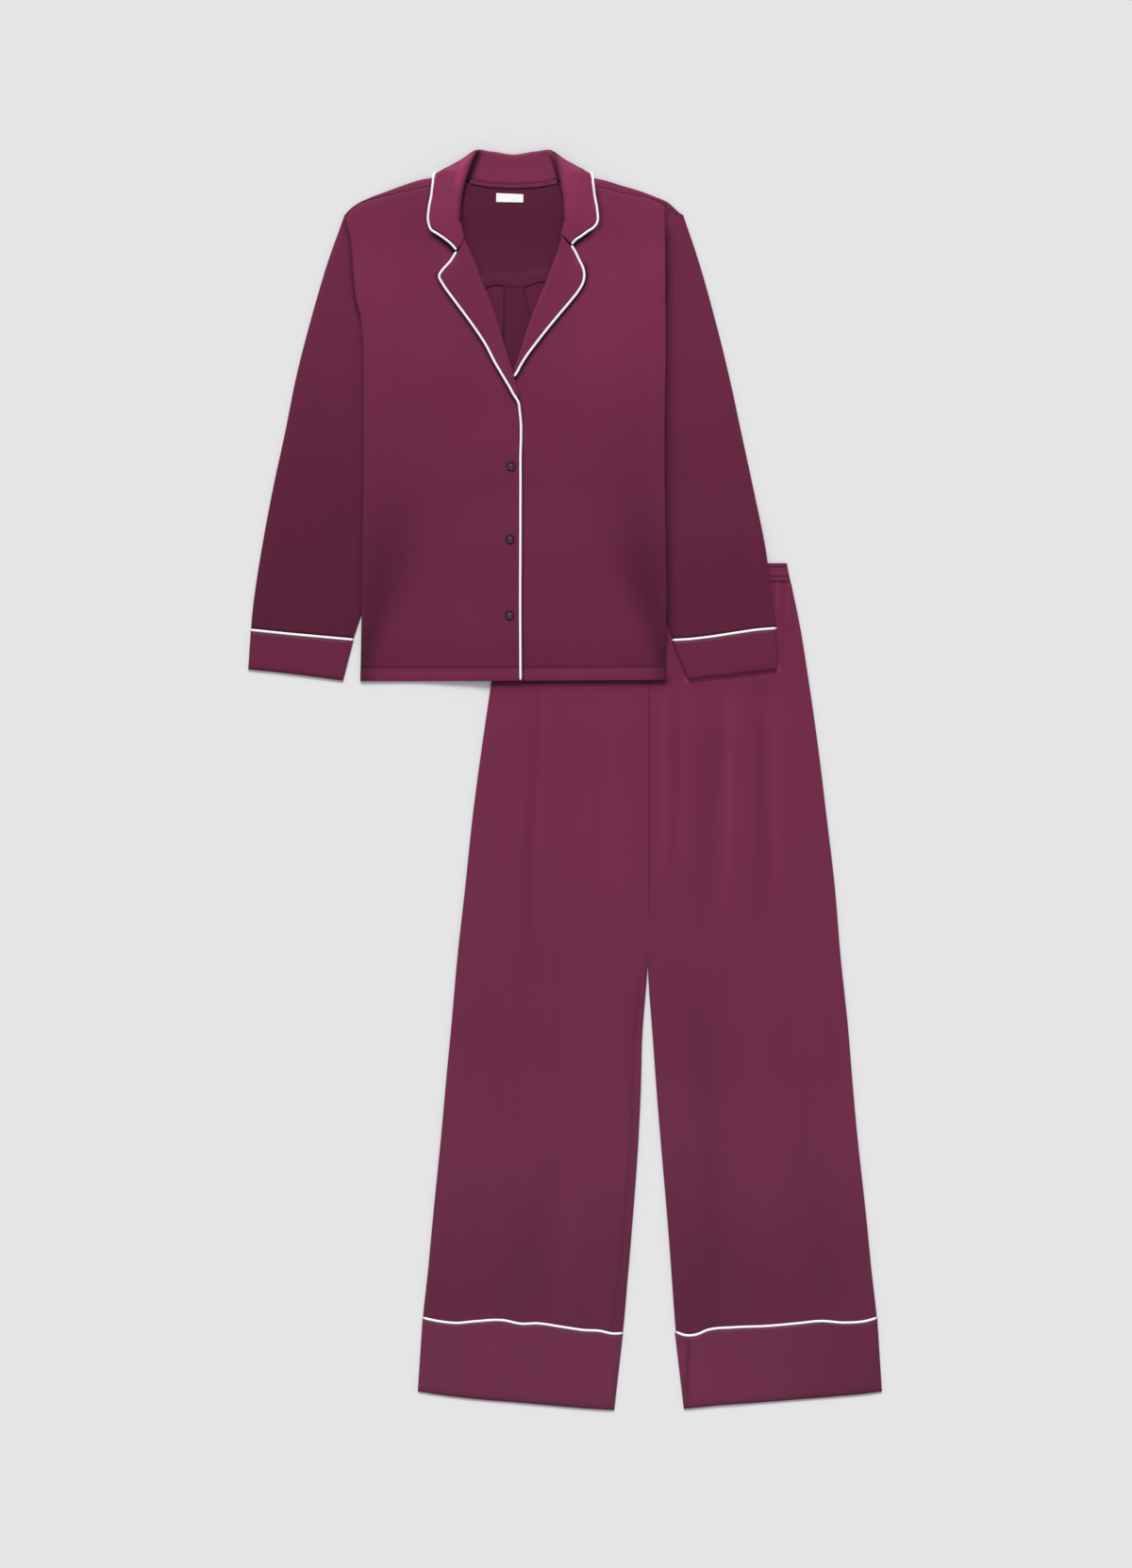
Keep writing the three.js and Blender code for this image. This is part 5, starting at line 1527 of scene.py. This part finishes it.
# Sub-assemblies
@dataclass(frozen=True)
class Trousers:
    """Wide-legged trousers with an elastic waistband and piped hem bands."""

    layers: Layers
    finishes: Finishes
    tones: PaintedLightAndShade = PaintedLightAndShade()
    cell: float = 4.0
    waist_gathers: int = 62
    waist_rows: tuple[float, ...] = (0.2, 0.68, 0.93)

    def leg(self, side: Side) -> None:
        """Front and back of one leg.

        Args:
            side: The leg's side.
        """
        outer, inner = LEG_OUTER[side], LEG_INNER[side]
        first, second = (outer, inner) if side is Side.RIGHT else (inner, outer)
        foot = shifted(np.asarray(BAND_SEAM[side], float), PIPING_REACH)
        plan = PanelPlan(first, second, end=foot, end_reach=70)
        outline = [*outer, *(foot if side is Side.RIGHT else reversed(foot)), *reversed(inner)]
        front = panel_object(f"cloth_trouser_front_{side.value}", plan.grid(spread(72), self.cell),
                             self.layers.over_leg, CLOTH, self.tones.leg)
        back = panel_object(f"cloth_trouser_back_{side.value}", plan.grid(spread(14), 30.0),
                            on_floor, CLOTH, 1.0)
        dress(front, self.finishes.satin, Slot.SATIN, [f"trouser_front_{side.value}"])
        dress(back, self.finishes.satin, Slot.SATIN, [f"trouser_back_{side.value}"])
        declare(outline)
        declare(outline)

    def band(self, side: Side) -> None:
        """Hem band of one leg with the piping round its seam.

        Args:
            side: The leg's side.
        """
        seam, hem = BAND_SEAM[side], BAND_HEM[side]
        top = shifted(np.asarray(seam, float), -PIPING_REACH)
        first, second = (top[0], hem[0]), (top[-1], hem[-1])
        plan = PanelPlan(first, second, start=top, end=hem, start_reach=60, end_reach=60)

        def high(xy: np.ndarray) -> np.ndarray:
            """Upper side of the band."""
            return self.layers.over_leg(xy) + CLOTH

        band = tube_object(f"cloth_trouser_band_{side.value}", plan.grid(spread(72), self.cell),
                           on_floor, high, self.tones.band(seam, 0.98))
        dress(band, self.finishes.satin, Slot.SATIN, [f"trouser_band_{side.value}"])
        declare([*top, *reversed(hem)], Round.LONG)
        cord = round_cord(f"cord_trouser_band_{side.value}", seam, high, on_floor)
        dress(cord, self.finishes.piping, Slot.PIPING, [f"piping_trouser_band_{side.value}"])

    def waistband(self) -> None:
        """Elastic waistband, gathered between rows of stitching.

        Its upper side is 2t + 0.5 + a (1 + cos(2 pi n u)) (1 - 0.6 r) - b r, r being 1 on a row of stitching.
        """
        plan = PanelPlan((WAIST_TOP[0], WAIST_SEAM[0]), (WAIST_TOP[-1], WAIST_SEAM[-1]))
        height = WAIST_TOP[0][1] - WAIST_SEAM[0][1]
        width = WAIST_TOP[-1][0] - WAIST_TOP[0][0]

        def rows_of_stitching(xy: np.ndarray) -> np.ndarray:
            """Share of a row of stitching at plan points, 1 on a row."""
            down = (WAIST_TOP[0][1] - xy[..., 1]) / height
            return np.clip(sum(np.exp(-(((down - row) / 0.05) ** 2)) for row in self.waist_rows), 0, 1)

        def gathers(xy: np.ndarray) -> np.ndarray:
            """Wave of the gathers across the waistband, from 0 to 2."""
            turns = self.waist_gathers * (xy[..., 0] - WAIST_TOP[0][0]) / width
            return 1 + np.cos(2 * np.pi * turns + 0.6 * np.sin(xy[..., 0] / 7))

        def high(xy: np.ndarray) -> np.ndarray:
            """Upper side of the waistband."""
            stitch = rows_of_stitching(xy)
            return 2 * CLOTH + 0.5 + 0.3 * gathers(xy) * (1 - 0.6 * stitch) - 0.25 * stitch

        def tone(xy: np.ndarray) -> np.ndarray:
            """Painted light and shade: a little light overall, darker on the rows, most of all between two
            gathers.
            """
            return (1.06 - rows_of_stitching(xy) * (0.5 - 0.14 * gathers(xy))) ** DISPLAY_GAMMA

        band = tube_object("cloth_waistband", plan.grid(spread(330), 1.0), on_floor, high, tone)
        dress(band, self.finishes.satin, Slot.SATIN, ["waistband"])
        declare([*WAIST_TOP, *reversed(WAIST_SEAM)], Round.LONG)

    def build(self) -> None:
        """Builds the trousers."""
        for side in Side:
            self.leg(side)
            self.band(side)
        self.waistband()


# How far the middle of piping round a tube lies below the cloth's upper side and above its underside, and
# half its height on the underside and on top
CORD_BELOW_TOP = 0.35
CORD_ABOVE_FLOOR = 0.6
CORD_THIN = 0.5
CORD_THICK = 1.25


def round_cord(name: str, seam: Points, high: Height, low: Height) -> bpy.types.Object:
    """Piping round a flattened tube: round on top, thin below, closed round both folded edges.

    Args:
        name: Name of the cord.
        seam: Line of the piping in plan.
        high: Upper side of the cloth.
        low: Underside of the cloth.

    Returns:
        The cord.
    """
    line = sampled(seam, spread(90))
    inner = line[1:-1]
    above = np.column_stack([inner, high(inner) - CORD_BELOW_TOP])
    below = np.column_stack([inner, low(inner) + CORD_ABOVE_FLOOR])
    middle = [[*line[k], float(low(line[k]) + high(line[k])) / 2] for k in (0, -1)]
    centres = np.vstack([middle[:1], below, middle[1:], above[::-1]])
    heights = np.concatenate([np.full(len(below) + 2, CORD_THIN), np.full(len(above), CORD_THICK)])
    return cord_object(name, centres, PIPING_RADIUS, heights, closed=True)


@dataclass(frozen=True)
class Sleeves:
    """Long sleeves with piped cuffs, their underarm folds tucked below the body."""

    layers: Layers
    finishes: Finishes
    tones: PaintedLightAndShade = PaintedLightAndShade()
    cell: float = 4.0
    armhole_tuck: float = 1.5

    def sleeve(self, side: Side) -> None:
        """One sleeve with its cuff and piping.

        Args:
            side: The sleeve's side.
        """
        outer, under, seam, hem = (table[side] for table in (SLEEVE_OUTER, SLEEVE_UNDER, CUFF_SEAM, CUFF_HEM))
        high, low = self.layers.over_arm(side), self.layers.over_trousers
        wrist = shifted(np.asarray(seam, float), PIPING_REACH)
        if side is Side.LEFT:
            wrist = wrist[::-1]
        tuck = self.armhole_tuck if side is Side.RIGHT else -self.armhole_tuck
        cap = [*shifted(np.asarray(ARMHOLE[side], float), tuck), *SLEEVE_CAP_END[side]]
        plan = PanelPlan(outer, under, start=cap, end=wrist, start_reach=165, end_reach=60)
        sleeve = tube_object(f"cloth_sleeve_{side.value}", plan.grid(spread(48), self.cell), low, high,
                             self.tones.arm(side))
        dress(sleeve, self.finishes.satin, Slot.SATIN, [f"sleeve_{side.value}"])
        declare([*outer, *wrist, *reversed(under), *reversed(cap)], Round.SHORT)
        top = shifted(np.asarray(seam, float), -PIPING_REACH)
        cuff_plan = PanelPlan((top[0], hem[0]), (top[-1], hem[-1]), start=top, end=hem,
                              start_reach=40, end_reach=40)
        cuff = tube_object(f"cloth_cuff_{side.value}", cuff_plan.grid(spread(40), self.cell), low, high,
                           self.tones.band(seam, 0.96))
        dress(cuff, self.finishes.satin, Slot.SATIN, [f"cuff_{side.value}"])
        declare([*top, *reversed(hem)], Round.LONG)
        cord = round_cord(f"cord_cuff_{side.value}", seam, high, low)
        dress(cord, self.finishes.piping, Slot.PIPING, [f"piping_cuff_{side.value}"])

    def build(self) -> None:
        """Builds both sleeves."""
        for side in Side:
            self.sleeve(side)


@dataclass(frozen=True)
class Body:
    """Back with a box pleat, yoke over the shoulders, and the two fronts."""

    layers: Layers
    finishes: Finishes
    tones: PaintedLightAndShade = PaintedLightAndShade()
    cell: float = 4.0
    pleat_top_y: float = 622.0
    pleat_right_x: float = -77.5
    pleat_left_x: float = -52.0
    pleat_slant: float = 0.02
    pleat_flare: float = 0.26
    pleat_raise: float = 0.9
    fine_columns: tuple[float, float] = (0.38, 0.64)

    def pleat_folds(self, xy: np.ndarray) -> tuple[np.ndarray, np.ndarray]:
        """Distances across the back from the pleat's two folds, which lie further apart lower down.

        Args:
            xy: Plan points.

        Returns:
            How far each point lies to the left of the right fold and to the right of the left one.
        """
        down = np.maximum(self.pleat_top_y - xy[..., 1], 0)
        right = self.pleat_right_x - self.pleat_slant * down
        left = self.pleat_left_x + self.pleat_flare * down
        return xy[..., 0] - right, left - xy[..., 0]

    def pleat(self, xy: np.ndarray) -> np.ndarray:
        """Share of the pleat's height at plan points: 1 between its folds, fading at chest height.

        Args:
            xy: Plan points.

        Returns:
            The share.
        """
        from_right, from_left = self.pleat_folds(xy)
        between = smooth(from_right / 1.6 + 0.5) * smooth(from_left / 1.6 + 0.5)
        return between * smooth((xy[..., 1] - 430) / 120)

    def shade_of_back(self, xy: np.ndarray) -> np.ndarray:
        """Painted light and shade on the back: darker on the pleat, with a thin line of painted shade at both
        of its folds.

        Args:
            xy: Plan points.

        Returns:
            The tone.
        """
        from_right, from_left = self.pleat_folds(xy)
        lines = bell(from_right, 0.26, 1.3) + bell(from_left, 0.2, 1.3)
        return ((1.08 - 0.09 * self.pleat(xy)) * (1 - lines)) ** DISPLAY_GAMMA

    def back(self) -> None:
        """The back below the yoke, its top edge tucked under the yoke's edge."""
        low, high = self.fine_columns
        fractions = np.concatenate([np.linspace(0, low, 12)[:-1], np.linspace(low, high, 90),
                                    np.linspace(high, 1, 12)[1:]])
        tucked = shifted(np.asarray(YOKE_SEAM, float), 3.0)
        plan = PanelPlan(BACK_SIDE[Side.RIGHT], BACK_SIDE[Side.LEFT], end=tucked, end_reach=40)
        back = panel_object("cloth_back_body", plan.grid(fractions, 6.0), self.layers.under_back,
                            lambda xy: CLOTH + self.pleat_raise * self.pleat(xy), self.shade_of_back)
        dress(back, self.finishes.inside, Slot.SATIN, ["back_body"])
        outline = [*BACK_SIDE[Side.RIGHT], *tucked, *reversed(BACK_SIDE[Side.LEFT])]
        declare(outline)

    def yoke(self) -> None:
        """The yoke's inside, and its strips turned over both shoulders to the seams with the fronts."""
        plan = PanelPlan(YOKE_SIDE[Side.RIGHT], YOKE_SIDE[Side.LEFT], start=YOKE_SEAM, end=YOKE_TOP,
                         start_reach=24, end_reach=92)

        def under(xy: np.ndarray) -> np.ndarray:
            """Underside of the yoke, lying on the back's edge at its seam.

            Args:
                xy: Plan points.

            Returns:
                The heights.
            """
            over_edge = (PLY + 0.2) * (1 - smooth((to_line(xy, YOKE_SEAM) - 5) / 16))
            return self.layers.under_back(xy) + over_edge

        yoke = panel_object("cloth_back_yoke", plan.grid(spread(150), 2.5), under, CLOTH, 1.0)
        across = np.linspace(0, 1, 9)[:, None, None]
        for side in Side:
            seam = shifted(sampled(FORWARD_SEAM[side], spread(48)), SEAM_GAP)
            fold = sampled(SHOULDER[side], spread(48))
            plan = seam[None] * (1 - across) + fold[None] * across
            # The strips take an even painted light, lighter than the fronts.
            strip = panel_object(f"cloth_shoulder_{side.value}", plan, self.layers.under_front(side), CLOTH,
                                 PaintedLightAndShade.even(1.14))
            dress(strip, self.finishes.satin, Slot.SATIN)
            declare([*seam, *fold[::-1]])
        dress(yoke, self.finishes.inside, Slot.SATIN, ["back_yoke"])
        left, right = YOKE_SIDE[Side.LEFT][1:-1], YOKE_SIDE[Side.RIGHT][1:-1]
        outline = [*YOKE_SEAM, *left, *reversed(YOKE_TOP), *reversed(right)]
        declare(outline)

    def front(self, side: Side) -> None:
        """One front.

        Args:
            side: The front's side.
        """
        first, second = FRONT_SIDE[side], FRONT_EDGE[side]
        if side is Side.LEFT:
            first, second = second, first
        plan = PanelPlan(first, second, end=FRONT_TOP[side], end_reach=55)
        front = panel_object(f"cloth_front_{side.value}", plan.grid(spread(64), self.cell - 0.5),
                             self.layers.under_front(side), self.layers.front_thickness, self.tones.body)
        dress(front, self.finishes.satin, Slot.SATIN, [f"front_{side.value}"])
        declare([*first, *FRONT_TOP[side][1:-1], *reversed(second)])

    def build(self) -> None:
        """Builds the back, the yoke and both fronts."""
        self.back()
        self.yoke()
        for side in Side:
            self.front(side)


@dataclass(frozen=True)
class Lapels:
    """Lapels folded back at their rolls, with the piping on their edges and down the front."""

    layers: Layers
    finishes: Finishes
    edge_height: float = 1.7
    cut_width: float = 0.062
    tucked_width: float = 6.0

    def lapel(self, side: Side) -> np.ndarray:
        """One lapel.

        Args:
            side: The lapel's side.

        Returns:
            The line of its piping, as x, y and z.
        """
        rows = sampled(np.asarray(LAPEL[side], float), spread(110))
        roll, edge, lift = rows[:, :2], rows[:, 2:4], rows[:, 4]
        cloth = shifted(edge, PIPING_REACH if side is Side.RIGHT else -PIPING_REACH)
        width = np.linalg.norm(cloth - roll, axis=1)
        under = self.layers.under_front(side)
        low = self.edge_height
        profile = (
            (width, np.full_like(lift, low)),
            (width * 0.75, low + (lift - low) * 0.25),
            (width * 0.5, low + (lift - low) * 0.6),
            (np.maximum(width * 0.25, lift * 0.45), lift),
            (lift * 0.17, lift * 0.92),
            (np.zeros_like(lift), lift * 0.5),
            (lift * 0.15, lift * 0.12),
            (np.minimum(3.2, width * 0.45), np.full_like(lift, -CLOTH / 2)),
        )
        control = []
        for across, height in profile:
            xy = roll + (cloth - roll) * np.minimum(1, across / width)[:, None]
            control.append(np.column_stack([xy, under(xy) + CLOTH + height]))
        sections = np.stack([sampled(section, spread(30)) for section in np.stack(control, axis=1)])
        # The lapels take an even painted light, the left one lighter than the right.
        lapel = folded_object(f"cloth_lapel_{side.value}", sections,
                              PaintedLightAndShade.even(1.06 if side is Side.RIGHT else 1.11))
        dress(lapel, self.finishes.satin, Slot.SATIN, [f"lapel_{side.value}"])
        return np.column_stack([edge, under(edge) + CLOTH + PIPING_RADIUS + SEAM_GAP])

    def build(self) -> None:
        """Builds both lapels and their piping."""
        right, left = self.lapel(Side.RIGHT), self.lapel(Side.LEFT)
        down = np.asarray(BREAK_TO_HEM, float)
        down[:, 2] += self.layers.under_front(Side.RIGHT)(down[:, :2])
        tail = sampled(np.vstack([right[-1:], down]), spread(160))[1:]
        front = cord_object("cord_front", np.vstack([right, tail]), PIPING_RADIUS, PIPING_RADIUS)
        dress(front, self.finishes.piping, Slot.PIPING, ["piping_front"])
        lapel = cord_object("cord_lapel", left, PIPING_RADIUS, PIPING_RADIUS)
        dress(lapel, self.finishes.piping, Slot.PIPING, ["piping_lapel"])


@dataclass(frozen=True)
class Collar:
    """The collar: one sheet from the neck seam over the roll to the piped edge, all round the neck."""

    finishes: Finishes
    cut: tuple[float, float] = (0.46, 0.075)
    cut_area: float = 0.0245
    turn_slack: float = 0.9

    def rows(self) -> tuple[np.ndarray, np.ndarray]:
        """The table's rows on both sides, as plan points and heights.

        A row on the wearer's left is the right one turned over at the middle line and a little narrower.

        Returns:
            Neck, roll, fold and edge points of each row, and its seven heights.
        """
        right = np.asarray(COLLAR, float)
        plan, heights = right[:, :8].reshape(-1, 4, 2), right[:, 8:]
        left = plan[-2::-1].copy()
        scale = np.array([0.97, 0.96, 0.985, 0.985])
        left[..., 0] = COLLAR_AXIS_X + (COLLAR_AXIS_X - left[..., 0]) * scale
        left[..., 1] += 7 * np.clip((715 - left[..., 1]) / 43, 0, 1)
        return np.vstack([plan, left]), np.vstack([heights, heights[-2::-1]])

    def control(self, plan: np.ndarray, heights: np.ndarray) -> np.ndarray:
        """Points of the sheet in each row: up the stand, over the roll and down the fall to the edge.

        Args:
            plan: Neck, roll, fold and edge points of each row.
            heights: The seven heights of each row.

        Returns:
            Rows, points and x, y and z.
        """
        neck, roll, fold, edge = (plan[:, k] for k in range(4))
        slack = np.zeros(len(plan))
        slack[[5, 6, -6, -7]] = self.turn_slack
        reach = (PIPING_REACH + slack) / np.linalg.norm(fold - edge, axis=1)
        cloth = edge + (fold - edge) * reach[:, None]

        def between(a: np.ndarray, b: np.ndarray, t: float) -> np.ndarray:
            """Points between two rows of points."""
            return a + (b - a) * t

        fall = np.stack([between(roll, fold, 0.22), between(roll, fold, 0.8), fold, between(fold, cloth, 0.3),
                         between(fold, cloth, 0.65), cloth], axis=1)
        for row, side in ((0, Side.RIGHT), (-1, Side.LEFT)):
            fall[row] = np.asarray(COLLAR_END[side])[:, :2]
        seam_z, inner_z, roll_z, outer_z, turn_z, back_z, edge_z = heights.T
        fall_z = np.column_stack([outer_z, (outer_z + turn_z * 3) / 4, turn_z, (turn_z + back_z) / 2, back_z,
                                  edge_z])
        stand = np.stack([neck, between(neck, roll, 0.5), between(neck, roll, 0.88), roll], axis=1)
        stand_z = np.stack([seam_z, (seam_z + inner_z) / 2 - 0.2, inner_z, roll_z], axis=1)
        return np.concatenate([np.dstack([stand, stand_z]), np.dstack([fall, fall_z])], axis=1)

    def piping(self, line: np.ndarray, end_height: float) -> None:
        """The piping of the edge and of both ends.

        Args:
            line: Its line along the edge, as x, y and z.
            end_height: Its height at both ends of the collar.
        """
        right, left = (np.insert(np.asarray(COLLAR_END[side], float)[1:, 2:], 2, end_height, axis=1)
                       for side in Side)
        points = np.vstack([right, line, left[::-1]])
        points[:, 2] = np.maximum(points[:, 2], PIPING_RADIUS)
        cord = cord_object("cord_collar", sampled(points, spread(360)), PIPING_RADIUS, PIPING_RADIUS)
        dress(cord, self.finishes.piping, Slot.PIPING, ["piping_collar"])

    def build(self) -> None:
        """Builds the collar and the piping of its edge."""
        plan, heights = self.rows()
        control = self.control(plan, heights)
        knots = lengths(plan[:, 1:].reshape(len(plan), -1))
        at = np.linspace(0, knots[-1], 200)
        along = np.stack([hermite(control[:, k], knots, at) for k in range(control.shape[1])], axis=1)
        sections = np.stack([sampled(section, spread(44)) for section in along])
        collar = folded_object("cloth_collar", sections, PaintedLightAndShade().collar(sections[..., :2]))
        dress(collar, self.finishes.satin, Slot.SATIN, ["collar"])
        edge = np.column_stack([plan[:, 3], heights[:, 6]])
        self.piping(hermite(edge, knots, at[4:-4]), heights[0, 6])


@dataclass(frozen=True)
class Trims:
    """Neck tape, blank label and buttons."""

    layers: Layers
    finishes: Finishes
    tape_seam: Points = ((-121, 757.6), (-101, 753.6), (-65.4, 751.6), (-29, 753.6), (-9.5, 757.6))
    tape_width: float = 5.0
    label_corners: Points = ((-87.5, 734.6), (-53, 734), (-53, 744.5), (-87.5, 746))
    button_places: Points = ((-69, 400), (-70, 307), (-70.5, 210.5))
    button_radius: float = 6.0
    button_thickness: float = 2.4
    sunk: float = 0.8
    thread_radius: float = 0.45
    trim_thickness: float = 0.8

    def on_yoke(self, xy: np.ndarray) -> np.ndarray:
        """Height of the yoke's inside at plan points."""
        return self.layers.under_back(xy) + PLY

    def neck(self) -> None:
        """Tape over the back neck seam, and the blank label below it."""
        seam = sampled(self.tape_seam, spread(60))
        across = np.linspace(0, self.tape_width, 7)[:, None, None] * np.array([0.0, 1.0])

        def tone(xy: np.ndarray) -> np.ndarray:
            """Painted lightness of the tape, with painted shade along its stitched edge."""
            return (1.06 * beside(xy, self.tape_seam, 0.4, 1.0)) ** DISPLAY_GAMMA

        tape = panel_object("cloth_neck_tape", seam[None] + across, self.on_yoke, self.trim_thickness, tone)
        dress(tape, self.finishes.satin, Slot.SATIN, ["neck_tape"])
        top = seam[::-1] + np.array([0, self.tape_width])
        declare([*seam, *top])
        low_right, low_left, high_left, high_right = np.asarray(self.label_corners, float)
        u, v = spread(24)[None, :, None], spread(10)[:, None, None]
        plan = (low_right * (1 - u) + low_left * u) * (1 - v) + (high_right * (1 - u) + high_left * u) * v
        label = panel_object("cloth_neck_label", plan, self.on_yoke, self.trim_thickness, 1.0)
        dress(label, self.finishes.label, Slot.LABEL, ["neck_label"])
        declare(self.label_corners)

    def button(self, number: int, x: float, y: float) -> None:
        """One button with a rim, a dished middle and a bar of thread.

        Args:
            number: Its number, from the top.
            x: Place of its middle.
            y: Place of its middle.
        """
        r, t = self.button_radius, self.button_thickness
        profile = np.array([(0.02, 0), (r - 0.7, 0), (r - 0.15, 0.25), (r, 0.9), (r, t - 0.7),
                            (r - 0.2, t - 0.15), (r - 0.7, t), (r - 1.3, t - 0.05), (r - 1.9, t - 0.55),
                            (r - 2.6, t - 0.75), (0.02, t - self.sunk)])
        base = float(self.layers.under_front(Side.RIGHT)(np.array([[x, y]]))[0]) + CLOTH + SEAM_GAP
        angle = np.linspace(0, 2 * np.pi, 48, endpoint=False)
        out, up = profile[:, :1], profile[:, 1:]
        places = np.broadcast_arrays(x + out * np.cos(angle), y + out * np.sin(angle), base + up)
        rings = np.stack(places, axis=-1)
        count = len(profile) * len(angle)
        ids = np.arange(count).reshape(len(profile), -1)
        middles = [[x, y, base], [x, y, base + t - self.sunk]]
        quads = np.vstack([quad_faces(wrapped(ids)), *end_fans(ids, (count, count + 1))])
        button = make_object(f"disc_button_{number}", np.vstack([rings.reshape(-1, 3), middles]), quads, 1.0)
        dress(button, self.finishes.button, Slot.BUTTON, [f"button_{number}"])
        reach = np.linspace(-1.6, 1.6, 9)
        for letter, offset in (("a", -0.75), ("b", 0.75)):
            bar = np.column_stack([np.full(9, x + offset), y + reach,
                                   base + t - 0.75 + 0.45 * np.cos(reach / 1.6)])
            thread = cord_object(f"thread_{number}_{letter}", bar, self.thread_radius, self.thread_radius,
                                 sides=8)
            dress(thread, self.finishes.thread, Slot.BUTTON)

    def build(self) -> None:
        """Builds the trims."""
        self.neck()
        for number, (x, y) in enumerate(self.button_places, start=1):
            self.button(number, x, y)


@dataclass(frozen=True)
class Studio:
    """Floor, lights and a camera straight above."""

    lens: float = 100.0
    sensor: float = 36.0
    picture_height: float = 1.9944
    centre: tuple[float, float] = (0.0012, -0.0048)
    floor_half: float = 4.0
    floor_drop: float = 0.0002
    floor_color: tuple[float, float, float] = (0.80, 0.80, 0.80)
    key_strength: float = 2.45
    key_spread: float = 0.42
    key_tilt: tuple[float, float] = (-51.0, -10.0)
    fill_strength: float = 0.5

    def build(self) -> None:
        """Builds the stage and sets the scene's camera."""
        scene = bpy.context.scene
        mesh = bpy.data.meshes.new("floor")
        half = self.floor_half
        corners = [(-half, -half, 0), (half, -half, 0), (half, half, 0), (-half, half, 0)]
        mesh.from_pydata(corners, [], [(0, 1, 2, 3)])
        floor = bpy.data.objects.new("floor", mesh)
        floor.location.z = -self.floor_drop
        scene.collection.objects.link(floor)
        mesh.materials.append(PlainFinish("FloorPaper", self.floor_color, 0.9, 0.1).material())
        key_data = bpy.data.lights.new("key", "SUN")
        key_data.energy = self.key_strength
        key_data.angle = self.key_spread
        key = bpy.data.objects.new("key", key_data)
        key.rotation_euler = (*(math.radians(angle) for angle in self.key_tilt), 0)
        scene.collection.objects.link(key)
        world = bpy.data.worlds.new("world")
        world.use_nodes = True
        background = world.node_tree.nodes["Background"]
        background.inputs["Color"].default_value = (1.0, 1.0, 1.0, 1.0)
        background.inputs["Strength"].default_value = self.fill_strength
        scene.world = world
        scene.view_settings.view_transform = "Standard"
        camera_data = bpy.data.cameras.new("camera")
        camera_data.lens = self.lens
        camera_data.sensor_width = self.sensor
        camera = bpy.data.objects.new("camera", camera_data)
        camera.location = (*self.centre, self.picture_height * self.lens / self.sensor)
        scene.collection.objects.link(camera)
        scene.camera = camera


def main() -> None:
    """Builds the set and its stage."""
    logging.basicConfig(level=logging.INFO, format="%(message)s")
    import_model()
    layers, finishes = Layers(), Finishes.build()
    for assembly in (Trousers(layers, finishes), Sleeves(layers, finishes), Body(layers, finishes),
                     Lapels(layers, finishes), Collar(finishes), Trims(layers, finishes), Studio()):
        assembly.build()
        LOG.info("built %s", type(assembly).__name__.lower())


if __name__ == "__main__":
    main()
